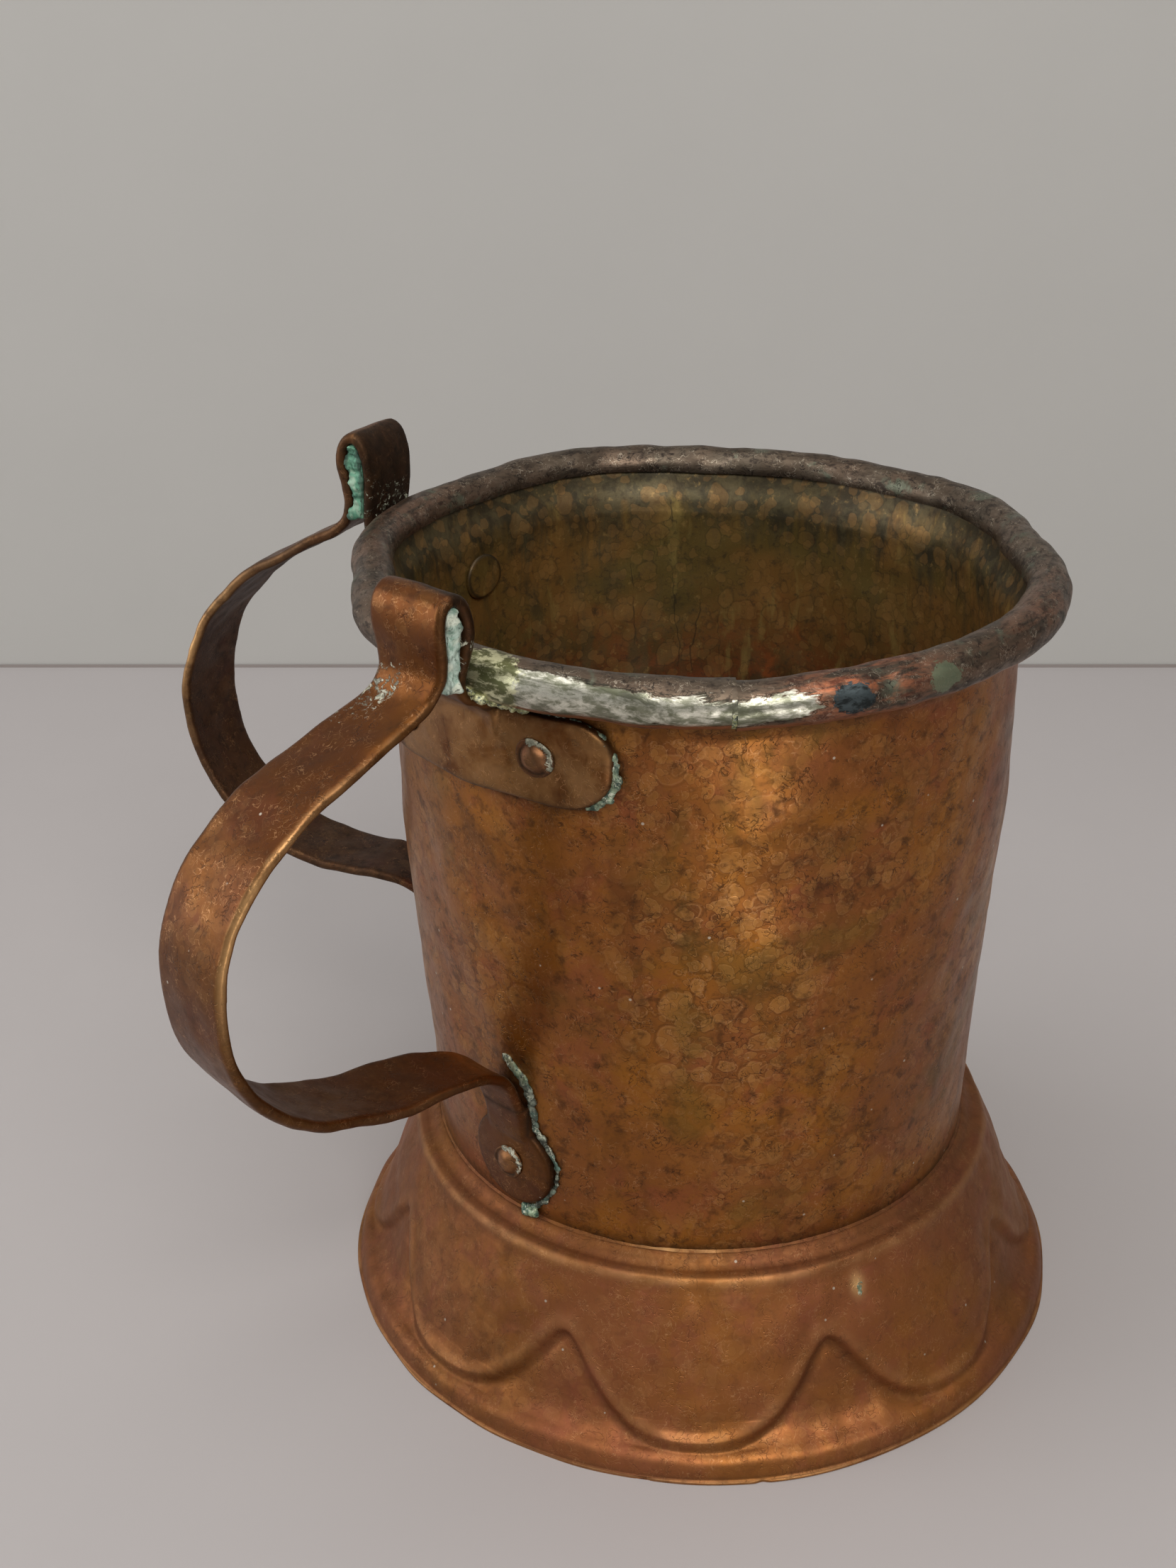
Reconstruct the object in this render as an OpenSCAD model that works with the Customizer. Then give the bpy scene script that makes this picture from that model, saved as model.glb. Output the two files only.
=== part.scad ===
// Two-handled copper washing cup on a flared, lobed foot.
// Frame: +Z up, origin on the vessel's axis at the plane that the foot stands on.
// The two strap handles lie on either side of -X, so -X is the side that is held.
// The front handle was set by hand a little askew: its top and its foot are turned sideways.

/* [Body] */
// Outer radius of the wall just under the rim
mouth_r = 58.2; // [56:0.1:60]
// Outer radius of the wall where it meets the foot
waist_r = 53.2; // [51:0.1:54]
// Thickness of the copper wall
wall_t = 1.2; // [1:0.1:1.4]
// Height of the floor's underside above the table
floor_z = 36.6; // [36:0.1:39]

/* [Rim] */
// Height of the rolled rim's centre above the table
rim_z = 150; // [148:1:156]
// Radius of the rolled rim's own round section
rim_bead_r = 3.9; // [3.6:0.1:4.2]
// Thickness of the copper band rolled round the wire
band_t = 0.9; // [0.7:0.1:1]
// Radius of the wire inside the rim
wire_r = 2.3; // [2:0.1:2.4]
// Width of the gap where the band's two ends meet
split_gap = 0.7; // [0.4:0.1:1]

/* [Foot] */
// Outer radius of the foot's bottom lip
foot_r = 73.2; // [71:0.1:75]
// Height of the ledge where the body stands in the foot
ledge_z = 35.6; // [34:0.1:36]
// Radius of the ledge's rounded shoulder
shoulder_r = 58.2; // [57:0.1:60]
// Thickness of the foot's sheet
foot_t = 1.4; // [1.2:0.1:1.8]
// Number of raised lobes round the foot
lobe_count = 8; // [6:1:10]
// How far the lobes stand out from the field between them
lobe_raise = 1.2; // [0.8:0.1:1.4]
// Lowest point of a lobe above the table
lobe_low_z = 5; // [4:0.5:8]
// Highest point of the field between two lobes
lobe_high_z = 21.5; // [16:0.5:26]

/* [Handles] */
// Angle from -X to the front handle
front_half_angle = 32; // [31:0.5:45]
// Angle from -X to the rear handle
rear_half_angle = 35.5; // [31:0.5:45]
// Thickness of the handle strap
strap_t = 2; // [1.8:0.1:2.2]
// Extra height of the rear handle's thumb loop over the front one's
rear_lift = 4; // [0:0.5:5]
// Turn of the front handle's riveted plate from the handle's own plane
front_plate_turn = 3; // [0:0.5:4]
// Turn of the front handle's lower lobe from the handle's own plane
front_tail_turn = 4.5; // [0:0.5:6]
// Turn of the rear handle's riveted plate from the handle's own plane, the other way
rear_plate_turn = 3.3; // [0:0.1:4]
// Half length of the riveted plate at the top of a handle, along the wall
plate_half_l = 27.5; // [24:0.5:28]
// Height of the riveted plate at the top of a handle
plate_h = 15.6; // [14:0.1:16]
// Height of the upper plate's middle above the table
plate_z = 134.6; // [133:0.1:135]
// Radius of the round lobe at the lower end of a handle
tail_r = 9.3; // [8:0.1:9.6]
// Height of the lower lobe's middle above the table
tail_z = 48.6; // [47:0.1:50]

/* [Rivets] */
// Radius of the rivets' shanks
shank_r = 1.8; // [1.5:0.1:2]
// Radius of the flat ring round the rivets' outer heads
head_r = 3.4; // [3:0.1:3.6]
// Height of the rivets' outer heads
head_h = 1.5; // [1.2:0.1:1.8]
// Radius of the flat rivet heads inside the cup
inner_head_r = 4.7; // [4:0.1:5]
// Distance along the wall from a handle's middle to each upper rivet
rivet_offset = 14.6; // [13:0.1:16]

/* [Hidden] */
$fn = 96;

front_azimuth = 180 + front_half_angle;
rear_azimuth = 180 - rear_half_angle;
// The rolled band's ends meet on the side opposite the rear handle's left
split_azimuth = 259.4;
// One lobe is centred on this azimuth
lobe_azimuth = 255;

wall_low_z = 33.4;
taper_low_z = 30;
taper_high_z = 135;
profile_steps = 24;
rim_r = mouth_r + rim_bead_r + 0.1;
seat_gap = 0.05;

// Outer radius of the wall at a height: a smooth step from the waist to the mouth
function step01(t) = t <= 0 ? 0 : t >= 1 ? 1 : t * t * (3 - 2 * t);
function body_r(z) = waist_r + (mouth_r - waist_r) * step01((z - taper_low_z) / (taper_high_z - taper_low_z));

// Heights between two limits, for profiles that follow the wall
function levels(z0, z1, n) = [for (i = [0:n]) z0 + (z1 - z0) * i / n];

// Solid of revolution that follows the wall between two heights, from one offset to another
module wall_band(z0, z1, inner, outer, n = profile_steps) {
    rotate_extrude($fn = 180)
        polygon(concat(
            [for (z = levels(z0, z1, n)) [body_r(z) + outer, z]],
            [for (z = levels(z1, z0, n)) [body_r(z) + inner, z]]));
}

// Everything inside the wall's surface, moved outwards by an offset
module wall_core(z0, z1, grow, n = profile_steps) {
    rotate_extrude($fn = 180)
        polygon(concat(
            [[0, z0]],
            [for (z = levels(z0, z1, n)) [body_r(z) + grow, z]],
            [[0, z1]]));
}

// A straight round bar along the wall's normal at an azimuth and a height
module radial_bar(azimuth, z, r, r0, r1) {
    rotate([0, 0, azimuth])
        translate([r0, 0, z])
            rotate([0, 90, 0])
                cylinder(r = r, h = r1 - r0, $fn = 48);
}

// ---- Body ----

flare_z = 142.5;

module body_wall() {
    color("peru")
        difference() {
            rotate_extrude($fn = 180)
                polygon(concat(
                    [for (z = levels(wall_low_z, flare_z, profile_steps)) [body_r(z), z]],
                    [
                        [rim_r - 2.5, rim_z - 3.25],
                        [rim_r - 2.15, rim_z - 1.1],
                        [rim_r - 3.05, rim_z - 0.95],
                        [rim_r - 3.6, rim_z - 3]
                    ],
                    [for (z = levels(flare_z, wall_low_z, profile_steps)) [body_r(z) - wall_t, z]]));
            for (a = handle_rivets()) {
                radial_bar(a[0], a[1], shank_r + shank_fit, 40, 70);
            }
        }
}

floor_t = 1.2;
floor_lip_h = 3.4;
floor_r = waist_r - wall_t - 0.1;

module body_floor() {
    color("peru")
        rotate_extrude($fn = 180)
            polygon([
                [0, floor_z],
                [floor_r - 1, floor_z],
                [floor_r, floor_z + 1],
                [floor_r, floor_z + floor_lip_h],
                [floor_r - floor_t, floor_z + floor_lip_h],
                [floor_r - floor_t, floor_z + floor_t + 0.6],
                [floor_r - floor_t - 0.6, floor_z + floor_t],
                [0, floor_z + floor_t]
            ]);
}

// Ring of solder on top of the floor's upturned edge
module floor_solder() {
    z0 = floor_z + floor_lip_h;
    color("silver")
        rotate_extrude($fn = 180)
            polygon([
                [floor_r - floor_t, z0],
                [body_r(z0) - wall_t, z0],
                [body_r(z0 + 1.4) - wall_t, z0 + 1.4]
            ]);
}

// ---- Rim ----

// The band wraps the wire from the wall's outside, over the top, to the wall's inside
band_from = -128;
band_to = 190;
band_steps = 40;

function band_point(r, a) = [rim_r + r * cos(a), rim_z + r * sin(a)];
split_half = asin(split_gap / 2 / rim_r);

module rim_band() {
    color("darkgray")
        rotate([0, 0, split_azimuth + split_half])
            rotate_extrude(angle = 360 - 2 * split_half, $fn = 180)
                polygon(concat(
                    [for (i = [0:band_steps])
                        band_point(rim_bead_r, band_from + (band_to - band_from) * i / band_steps)],
                    [for (i = [band_steps:-1:0])
                        band_point(rim_bead_r - band_t, band_from + (band_to - band_from) * i / band_steps)]));
}

module rim_wire() {
    color("dimgray")
        rotate_extrude($fn = 180)
            translate([rim_r + 0.45, rim_z + 0.2])
                circle(r = wire_r, $fn = 36);
}

// Solder that fills the gap between the band's two ends, outside the wire
module rim_split_solder() {
    r_out = rim_bead_r - 0.1;
    r_in = rim_bead_r - band_t + 0.05;
    color("khaki")
        rotate([0, 0, split_azimuth - split_half])
            rotate_extrude(angle = 2 * split_half, $fn = 180)
                polygon(concat(
                    [for (i = [0:20]) band_point(r_out, -125 + 225 * i / 20)],
                    [for (i = [20:-1:0]) band_point(r_in, -125 + 225 * i / 20)]));
}

// ---- Foot ----

skirt_slope = 0.37;

// Outer radius of the foot's raised surface at a height below the shoulder
function raised_r(z) = shoulder_r + (ledge_z - 1.8 - z) * skirt_slope;
function field_r(z) = raised_r(z) - lobe_raise;

// The skirt's section with the lobes' raised surface all round it
raised_low_z = 6.2;
skirt_section = [
    [body_r(ledge_z) + seat_gap, ledge_z + 0.2],
    [shoulder_r - 2.1, ledge_z - 0.8],
    [shoulder_r - 1.2, ledge_z - 1.1],
    [raised_r(ledge_z - 2.4), ledge_z - 2.4],
    [raised_r(raised_low_z), raised_low_z],
    [raised_r(raised_low_z) - 0.6, lobe_low_z - 0.1],
    [foot_r - 2.9, 4.5],
    [foot_r - 1.6, 3.4],
    [foot_r - 1.1, 2.4],
    [foot_r - 0.8, 1.4],
    [foot_r - 0.7, 0.8],
    [foot_r, 0.6],
    [foot_r, 0],
    [foot_r - 2, 0],
    [foot_r - 2.4, 1.6],
    [foot_r - 2.9, 2.6],
    [foot_r - 4.2, 3.3],
    [field_r(lobe_low_z) - foot_t, lobe_low_z],
    [shoulder_r - lobe_raise - foot_t, ledge_z - 2.6],
    [shoulder_r - lobe_raise - foot_t - 0.8, ledge_z - 1.4],
    [body_r(ledge_z) + seat_gap, ledge_z - 1.2]
];

// Half width of the recess between two lobes, at a share of its height
recess_steps = 12;
recess_tip = 0.92;
lobe_power = 2.3;
foot_cut = 0.06;

function recess_half(share) =
    let (u = pow(share, 1 / lobe_power), r = field_r(lobe_low_z + share * (lobe_high_z - lobe_low_z)))
    r * sin(180 / lobe_count * (1 - foot_cut) * (1 - u));

// A prism along X with the recess's outline: wide at the foot, rounded off at the top
module recess_prism() {
    shares = [for (i = [0:recess_steps]) foot_cut + (recess_tip - foot_cut) * i / recess_steps];
    rise = lobe_high_z - lobe_low_z;
    tip = recess_half(recess_tip);
    translate([50, 0, 0])
        rotate([90, 0, 90])
            linear_extrude(height = 30)
                polygon(concat(
                    [[recess_half(foot_cut), lobe_low_z - 2]],
                    [for (s = shares) [recess_half(s), lobe_low_z + s * rise]],
                    [
                        [tip * 0.7, lobe_high_z - 0.6],
                        [-tip * 0.7, lobe_high_z - 0.6]
                    ],
                    [for (i = [recess_steps:-1:0]) [-recess_half(shares[i]), lobe_low_z + shares[i] * rise]],
                    [[-recess_half(foot_cut), lobe_low_z - 2]]));
}

module foot_skirt() {
    color("sienna")
        difference() {
            rotate_extrude($fn = 180)
                polygon(skirt_section);
            for (i = [0:lobe_count - 1]) {
                rotate([0, 0, lobe_azimuth + (i + 0.5) * 360 / lobe_count])
                    intersection() {
                        rotate_extrude($fn = 180)
                            polygon([
                                [field_r(lobe_low_z + 0.2), lobe_low_z + 0.2],
                                [field_r(lobe_low_z) + 8, lobe_low_z + 0.2],
                                [field_r(lobe_low_z) + 8, lobe_high_z + 4],
                                [field_r(lobe_high_z + 4), lobe_high_z + 4]
                            ]);
                        recess_prism();
                    }
            }
        }
}

// Solder fillet in the crease between the body and the foot's ledge
module foot_solder() {
    z0 = skirt_section[0][1];
    reach = body_r(z0) + 1.1;
    color("silver")
        rotate_extrude($fn = 180)
            polygon([
                [body_r(z0) + seat_gap, z0 + 0.02],
                [reach, lookup(reach, [skirt_section[0], skirt_section[1]]) + 0.02],
                [body_r(z0 + 0.9) + seat_gap, z0 + 0.9]
            ]);
}

// ---- Handles ----
// A handle is one strip. It is drawn in the plane of X and Z, with X as the distance from
// the vessel's axis, and then turned to its own azimuth.

// The middle of the strip: up from the riveted plate, round the rim, over the thumb loop,
// down again, out and round the finger gap, and back to the wall
strap_route = [
    [59.4, 134], [59.4, 138], [60, 141.6], [62.8, 144.2], [66.4, 146.2], [67.8, 149.8],
    [67.2, 154.5], [67, 158.5], [68, 161.8], [69.9, 163], [71.8, 161.6], [72.5, 158.2],
    [71.8, 153.5], [71.9, 149.6], [74.6, 145.6], [83.5, 141], [96.4, 134.4], [107.4, 123.6],
    [112.4, 109], [109.8, 93.2], [99.6, 81.2], [84.6, 75.4], [69.6, 74.2], [60.6, 70.8],
    [56.8, 64], [55.4, 57]
];
route_steps = 4;
loop_first = 5;
loop_last = 13;

function catmull(a, b, c, d, t) =
    0.5 * (2 * b + (c - a) * t + (2 * a - 5 * b + 4 * c - d) * t * t
        + (3 * b - a - 3 * c + d) * t * t * t);
function clamp_index(i, n) = i < 0 ? 0 : i > n - 1 ? n - 1 : i;
function smooth_route(p, steps) =
    let (n = len(p))
    concat(
        [for (i = [0:n - 2]) for (k = [0:steps - 1])
            catmull(p[clamp_index(i - 1, n)], p[i], p[i + 1], p[clamp_index(i + 2, n)], k / steps)],
        [p[n - 1]]);
function side_of(p, i, d) =
    let (
        n = len(p),
        v = p[clamp_index(i + 1, n)] - p[clamp_index(i - 1, n)],
        u = v / norm(v)
    )
    p[i] + d * [-u[1], u[0]];

// The route for a handle whose loop and shoulder stand higher: up to the loop's top the
// inner leg is stretched, and from there on the lift fades out down the grip
loop_top = 9;
loop_base_z = 150;
loop_top_z = 163;
grip_z = 112;
function lift_share(i, z) =
    i <= loop_top ? max(0, z - loop_base_z) / (loop_top_z - loop_base_z)
    : min(1, max(0, z - grip_z) / (loop_base_z - grip_z));
function lifted(lift) = [for (i = [0:len(strap_route) - 1])
    [strap_route[i][0], strap_route[i][1] + lift * lift_share(i, strap_route[i][1])]];
function route(lift) = smooth_route(lifted(lift), route_steps);

// Half width of the strip at a height
function strap_half(z) =
    lookup(z, [
        [50, 5], [64, 5], [70.8, 5.6], [74.2, 7.3], [77, 8.1], [90, 8.3], [110, 8.8],
        [130, 9], [142, 8.8], [146, 8], [150, 7.5], [157, 8], [172, 7.8]
    ]);
strap_heights = [
    50, 57, 60, 64, 67.5, 70.8, 72.5, 74.2, 77, 81, 90, 100,
    110, 120, 130, 137, 142, 144, 146, 148, 150, 157, 172
];

// How far an askew handle's middle is off its plane at a height: at the thumb loop and
// at the lower lobe, which each have their own share
front_skew = [1, 1];
rear_skew = [-0.62, 0];
function askew(z, skew) =
    skew[0] * lookup(z, [[120, 0], [135, 2.1], [143, 4.3], [150, 6], [157, 6.5], [172, 6.5]])
    + skew[1] * lookup(z, [[50, 4.3], [67.5, 4.2], [72.5, 3.6], [74.2, 2], [77, 0]]);

// The strip with its side outline, before its ends are added
module strap(lift, skew) {
    line = route(lift);
    intersection() {
        rotate([90, 0, 0])
            linear_extrude(height = 24, center = true)
                polygon(concat(
                    [for (i = [0:len(line) - 1]) side_of(line, i, strap_t / 2)],
                    [for (i = [len(line) - 1:-1:0]) side_of(line, i, -strap_t / 2)]));
        rotate([90, 0, 90])
            linear_extrude(height = 130)
                polygon(concat(
                    [for (z = strap_heights) [askew(z, skew) + strap_half(z), z]],
                    [for (i = [len(strap_heights) - 1:-1:0])
                        [askew(strap_heights[i], skew) - strap_half(strap_heights[i]), strap_heights[i]]]));
    }
}

// A prism along X whose section is a flat oval, half_l long each way and h high
module oval_prism(half_l, h) {
    translate([40, 0, 0]) {
        for (side = [-1, 1]) {
            translate([0, side * (half_l - h / 2), 0])
                rotate([0, 90, 0])
                    cylinder(r = h / 2, h = 30, $fn = 64);
        }
        translate([0, h / 2 - half_l, -h / 2])
            cube([30, 2 * half_l - h, h]);
    }
}

// Straight half length that gives the plate its length along the curved wall
plate_reach = mouth_r * sin(plate_half_l / mouth_r * 180 / PI);

module upper_plate() {
    intersection() {
        wall_band(plate_z - plate_h, plate_z + plate_h, seat_gap, seat_gap + strap_t, 8);
        translate([0, 0, plate_z])
            oval_prism(plate_reach, plate_h);
    }
}

neck_half = 5;

module tail_plate() {
    intersection() {
        wall_band(tail_z - 10, tail_z + 14, seat_gap, seat_gap + strap_t, 6);
        translate([40, 0, 0]) {
            translate([0, 0, tail_z])
                rotate([0, 90, 0])
                    cylinder(r = tail_r, h = 30, $fn = 64);
            translate([0, -neck_half, tail_z])
                cube([30, 2 * neck_half, 11]);
        }
    }
}

// Azimuths and heights of a handle's rivets: left, right and lower
rivet_turn = rivet_offset / mouth_r * 180 / PI;
rivet_z = plate_z + 0.4;
function rivets_of(azimuth, plate_turn, tail_turn) = [
    [azimuth + plate_turn - rivet_turn, rivet_z],
    [azimuth + plate_turn + rivet_turn, rivet_z],
    [azimuth + tail_turn, tail_z]
];
front_rivets = rivets_of(front_azimuth, front_plate_turn, front_tail_turn);
rear_rivets = rivets_of(rear_azimuth, -rear_plate_turn, 0);
function handle_rivets() = concat(front_rivets, rear_rivets);

module handle(azimuth, lift, skew, plate_turn, tail_turn, rivets) {
    color("chocolate")
        difference() {
            rotate([0, 0, azimuth]) {
                strap(lift, skew);
                rotate([0, 0, plate_turn])
                    upper_plate();
                rotate([0, 0, tail_turn])
                    tail_plate();
            }
            for (a = rivets) {
                radial_bar(a[0], a[1], shank_r + shank_fit, 40, 66);
            }
        }
}

module front_handle() {
    handle(front_azimuth, 0, front_skew, front_plate_turn, front_tail_turn, front_rivets);
}

module rear_handle() {
    handle(rear_azimuth, rear_lift, rear_skew, -rear_plate_turn, 0, rear_rivets);
}

// A rivet turned about its own axis: a flat head inside the wall, a shank through the wall
// and the handle, and outside a thin ring with a low dome on it
ring_h = 0.45;
dome_r = 2.5;
inner_head_t = 0.8;
inner_head_gap = 0.25;
shank_fit = 0.02;

module rivet(a) {
    z = a[1];
    r_in = body_r(z) - wall_t - inner_head_gap;
    r_out = body_r(z + head_r) + seat_gap + strap_t + 0.01;
    color("peru")
        rotate([0, 0, a[0]])
            translate([0, 0, z])
                rotate([0, 90, 0])
                    rotate_extrude($fn = 48)
                        polygon(concat(
                            [
                                [0, r_in - inner_head_t],
                                [inner_head_r - 0.3, r_in - inner_head_t],
                                [inner_head_r, r_in - inner_head_t + 0.3],
                                [inner_head_r, r_in],
                                [shank_r, r_in],
                                [shank_r, r_out],
                                [head_r, r_out],
                                [head_r, r_out + ring_h - 0.2],
                                [head_r - 0.2, r_out + ring_h]
                            ],
                            [for (i = [0:8])
                                [dome_r * cos(90 * i / 8), r_out + ring_h + (head_h - ring_h) * sin(90 * i / 8)]]));
}

module front_left_rivet() {
    rivet(front_rivets[0]);
}

module front_right_rivet() {
    rivet(front_rivets[1]);
}

module front_lower_rivet() {
    rivet(front_rivets[2]);
}

module rear_left_rivet() {
    rivet(rear_rivets[0]);
}

module rear_right_rivet() {
    rivet(rear_rivets[1]);
}

module rear_lower_rivet() {
    rivet(rear_rivets[2]);
}

// Solder, now mostly green, that fills the thumb loop between its two legs
loop_solder_w = 13.6;

module loop_solder(azimuth, lift, skew) {
    line = route(lift);
    first = loop_first * route_steps + 1;
    last = loop_last * route_steps - 1;
    color("aquamarine")
        rotate([0, 0, azimuth])
            translate([0, askew(loop_top_z, skew), 0])
                rotate([90, 0, 0])
                    linear_extrude(height = loop_solder_w, center = true)
                        polygon([for (i = [first:last]) side_of(line, i, -strap_t / 2)]);
}

module front_loop_solder() {
    loop_solder(front_azimuth, 0, front_skew);
}

module rear_loop_solder() {
    loop_solder(rear_azimuth, rear_lift, rear_skew);
}

// Solder along the top edge of the riveted plate, under the rim, on both sides of the strap
plate_solder_from = 12;
plate_solder_to = 24;

module plate_solder(azimuth) {
    z0 = plate_z + plate_h / 2 + 0.02;
    color("silver")
        difference() {
            for (side = [-1, 1]) {
                rotate([0, 0, azimuth + side * (plate_solder_from + plate_solder_to) / 2])
                    rotate([0, 0, (plate_solder_from - plate_solder_to) / 2])
                        rotate_extrude(angle = plate_solder_to - plate_solder_from, $fn = 180)
                            polygon([
                                [mouth_r + seat_gap, z0],
                                [mouth_r + seat_gap + strap_t - 0.3, z0],
                                [mouth_r + 2.6, rim_z - 2.4],
                                [mouth_r + 1.3, rim_z - 2.4],
                                [mouth_r + seat_gap, flare_z + 0.05]
                            ]);
            }
            rotate_extrude($fn = 180)
                translate([rim_r, rim_z])
                    circle(r = rim_bead_r + 0.03, $fn = 72);
            rotate_extrude($fn = 180)
                polygon([
                    [mouth_r - 3, flare_z],
                    [mouth_r + 0.02, flare_z],
                    [rim_r - 2.48, rim_z - 3.25],
                    [rim_r - 2.4, rim_z],
                    [mouth_r - 3, rim_z]
                ]);
        }
}

module front_plate_solder() {
    plate_solder(front_azimuth + front_plate_turn);
}

module rear_plate_solder() {
    plate_solder(rear_azimuth - rear_plate_turn);
}

// Solder fillet round one side and the tip of the lower lobe
tail_solder_w = 1.3;

module tail_solder(azimuth) {
    color("silver")
        rotate([0, 0, azimuth])
            intersection() {
                wall_band(tail_z - tail_r - tail_solder_w, tail_z + 14, seat_gap, seat_gap + 1.1, 6);
                difference() {
                    translate([40, 0, tail_z])
                        rotate([0, 90, 0])
                            cylinder(r = tail_r + tail_solder_w, h = 30, $fn = 64);
                    translate([39, 0, tail_z])
                        rotate([0, 90, 0])
                            cylinder(r = tail_r + 0.02, h = 32, $fn = 64);
                    translate([39, -20, tail_z - 20])
                        cube([32, 18, 40]);
                    translate([39, -neck_half - 0.02, tail_z])
                        cube([32, 2 * neck_half + 0.04, 20]);
                }
            }
}

module front_tail_solder() {
    tail_solder(front_azimuth + front_tail_turn);
}

module rear_tail_solder() {
    tail_solder(rear_azimuth);
}

body_wall();
body_floor();
floor_solder();
rim_band();
rim_wire();
rim_split_solder();
foot_skirt();
foot_solder();
front_handle();
rear_handle();
front_left_rivet();
front_right_rivet();
front_lower_rivet();
rear_left_rivet();
rear_right_rivet();
rear_lower_rivet();
front_loop_solder();
rear_loop_solder();
front_plate_solder();
rear_plate_solder();
front_tail_solder();
rear_tail_solder();
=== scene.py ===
import math
import bpy
import bmesh
import numpy as np
from mathutils import Matrix, Vector
from mathutils.kdtree import KDTree


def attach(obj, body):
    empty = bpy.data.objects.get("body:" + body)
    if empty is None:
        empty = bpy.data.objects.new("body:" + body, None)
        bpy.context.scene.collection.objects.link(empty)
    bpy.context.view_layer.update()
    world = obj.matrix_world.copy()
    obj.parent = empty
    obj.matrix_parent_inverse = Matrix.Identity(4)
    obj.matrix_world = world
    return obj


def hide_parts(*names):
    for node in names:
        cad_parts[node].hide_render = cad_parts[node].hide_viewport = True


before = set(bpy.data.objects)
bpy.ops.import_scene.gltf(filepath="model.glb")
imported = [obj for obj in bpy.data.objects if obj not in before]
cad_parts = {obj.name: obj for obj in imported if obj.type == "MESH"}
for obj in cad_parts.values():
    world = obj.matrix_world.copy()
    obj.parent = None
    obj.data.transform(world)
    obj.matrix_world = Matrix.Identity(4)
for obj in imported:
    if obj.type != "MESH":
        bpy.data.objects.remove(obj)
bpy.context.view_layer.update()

MM = 0.001
FRONT = 255.0  # azimuth in degrees of the side that faces the camera
WAIST_R, MOUTH_R = 53.2, 58.2  # the wall's outer radius below and above its taper
TAPER_LOW, TAPER_HIGH = 30.0, 135.0
SHEET = 1.2  # thickness of the wall
WALL_FOOT, WALL_TOP = 33.4, 142.0  # where the straight sheet starts and its lip begins


# ---------------------------------------------------------------- shape of the vessel, in mm

def smooth01(t):
    t = np.clip(t, 0.0, 1.0)
    return t * t * (3 - 2 * t)


def body_r(z):
    """Outer radius of the wall."""
    share = (np.asarray(z, float) - TAPER_LOW) / (TAPER_HIGH - TAPER_LOW)
    return WAIST_R + (MOUTH_R - WAIST_R) * smooth01(share)


def bump(a, centre, width):
    """A soft bump round an azimuth in degrees."""
    d = (np.asarray(a, float) - centre + 180) % 360 - 180
    return np.exp(-0.5 * (d / width) ** 2)


def lump(x, centre, width):
    return np.exp(-0.5 * ((np.asarray(x, float) - centre) / width) ** 2)


def turn_of(p, azimuth=FRONT):
    """Degrees from an azimuth, or from the camera's side if none is given, positive to the
    right."""
    a = np.degrees(np.arctan2(p[:, 1], p[:, 0])) - azimuth
    return (a + 180) % 360 - 180


def waves(p, scale, seed, count=9):
    """A smooth random field of about unit size: sine waves of mixed direction."""
    g = np.random.default_rng(seed)
    total = np.zeros(len(p))
    for _ in range(count):
        d = g.normal(size=3)
        d /= np.linalg.norm(d)
        k = 2 * math.pi / (scale * (0.7 + 0.9 * g.random()))
        total += np.sin(p @ (d * k) + g.random() * 2 * math.pi)
    return total / math.sqrt(count / 2)


def rim_shift(th):
    """How far the hand-made mouth is out of round (mm, outwards) and out of level (mm, up)."""
    out = (-3.4 * bump(th, 97, 14.5) - 3.2 * bump(th, -80, 11) - 0.9 * bump(th, 140, 7)
           + 2.2 * bump(th, -158, 15) + 0.5 * bump(th, 165, 14))
    up = -2.2 * bump(th, 6, 40) + 1.0 * bump(th, -156, 14) - 0.3 * bump(th, 135, 12)
    return out, up


def warp(p):
    """Bends points of the body and the rim to the hand-made shape."""
    p = np.array(p, float)
    th = turn_of(p)
    z = p[:, 2]
    r = np.hypot(p[:, 0], p[:, 1])
    out, up = rim_shift(th)
    share_r = smooth01((z - 96) / 50)
    share_z = smooth01((z - 118) / 26)
    dent = (-0.9 * bump(th, 86, 11) * lump(z, 93, 8) - 0.5 * bump(th, 20, 9) * lump(z, 112, 9)
            + 0.5 * bump(th, 13, 8) * lump(z, 126, 6) - 0.5 * bump(th, -62, 9) * lump(z, 100, 14)
            - 0.4 * bump(th, 60, 10) * lump(z, 70, 12) - 0.45 * bump(th, 150, 14) * lump(z, 90, 14))
    hammer = 0.10 * waves(p, 21, 3) + 0.06 * waves(p, 9, 4)
    near = smooth01((r - 30) / 20)
    new_r = r + (out * share_r + (dent + hammer) * smooth01((z - 36) / 8)) * near
    p[:, 0] *= new_r / np.maximum(r, 1e-6)
    p[:, 1] *= new_r / np.maximum(r, 1e-6)
    p[:, 2] = z + up * share_z * near
    return p


# ---------------------------------------------------------------- mesh helpers

def grid_faces(nu, nv, wrap_u, wrap_v):
    u = np.arange(nu if wrap_u else nu - 1)
    v = np.arange(nv if wrap_v else nv - 1)
    uu, vv = np.meshgrid(u, v, indexing="ij")
    a = uu * nv + vv
    b = ((uu + 1) % nu) * nv + vv
    c = ((uu + 1) % nu) * nv + (vv + 1) % nv
    d = uu * nv + (vv + 1) % nv
    return np.stack([a, d, c, b], -1).reshape(-1, 4)


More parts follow.
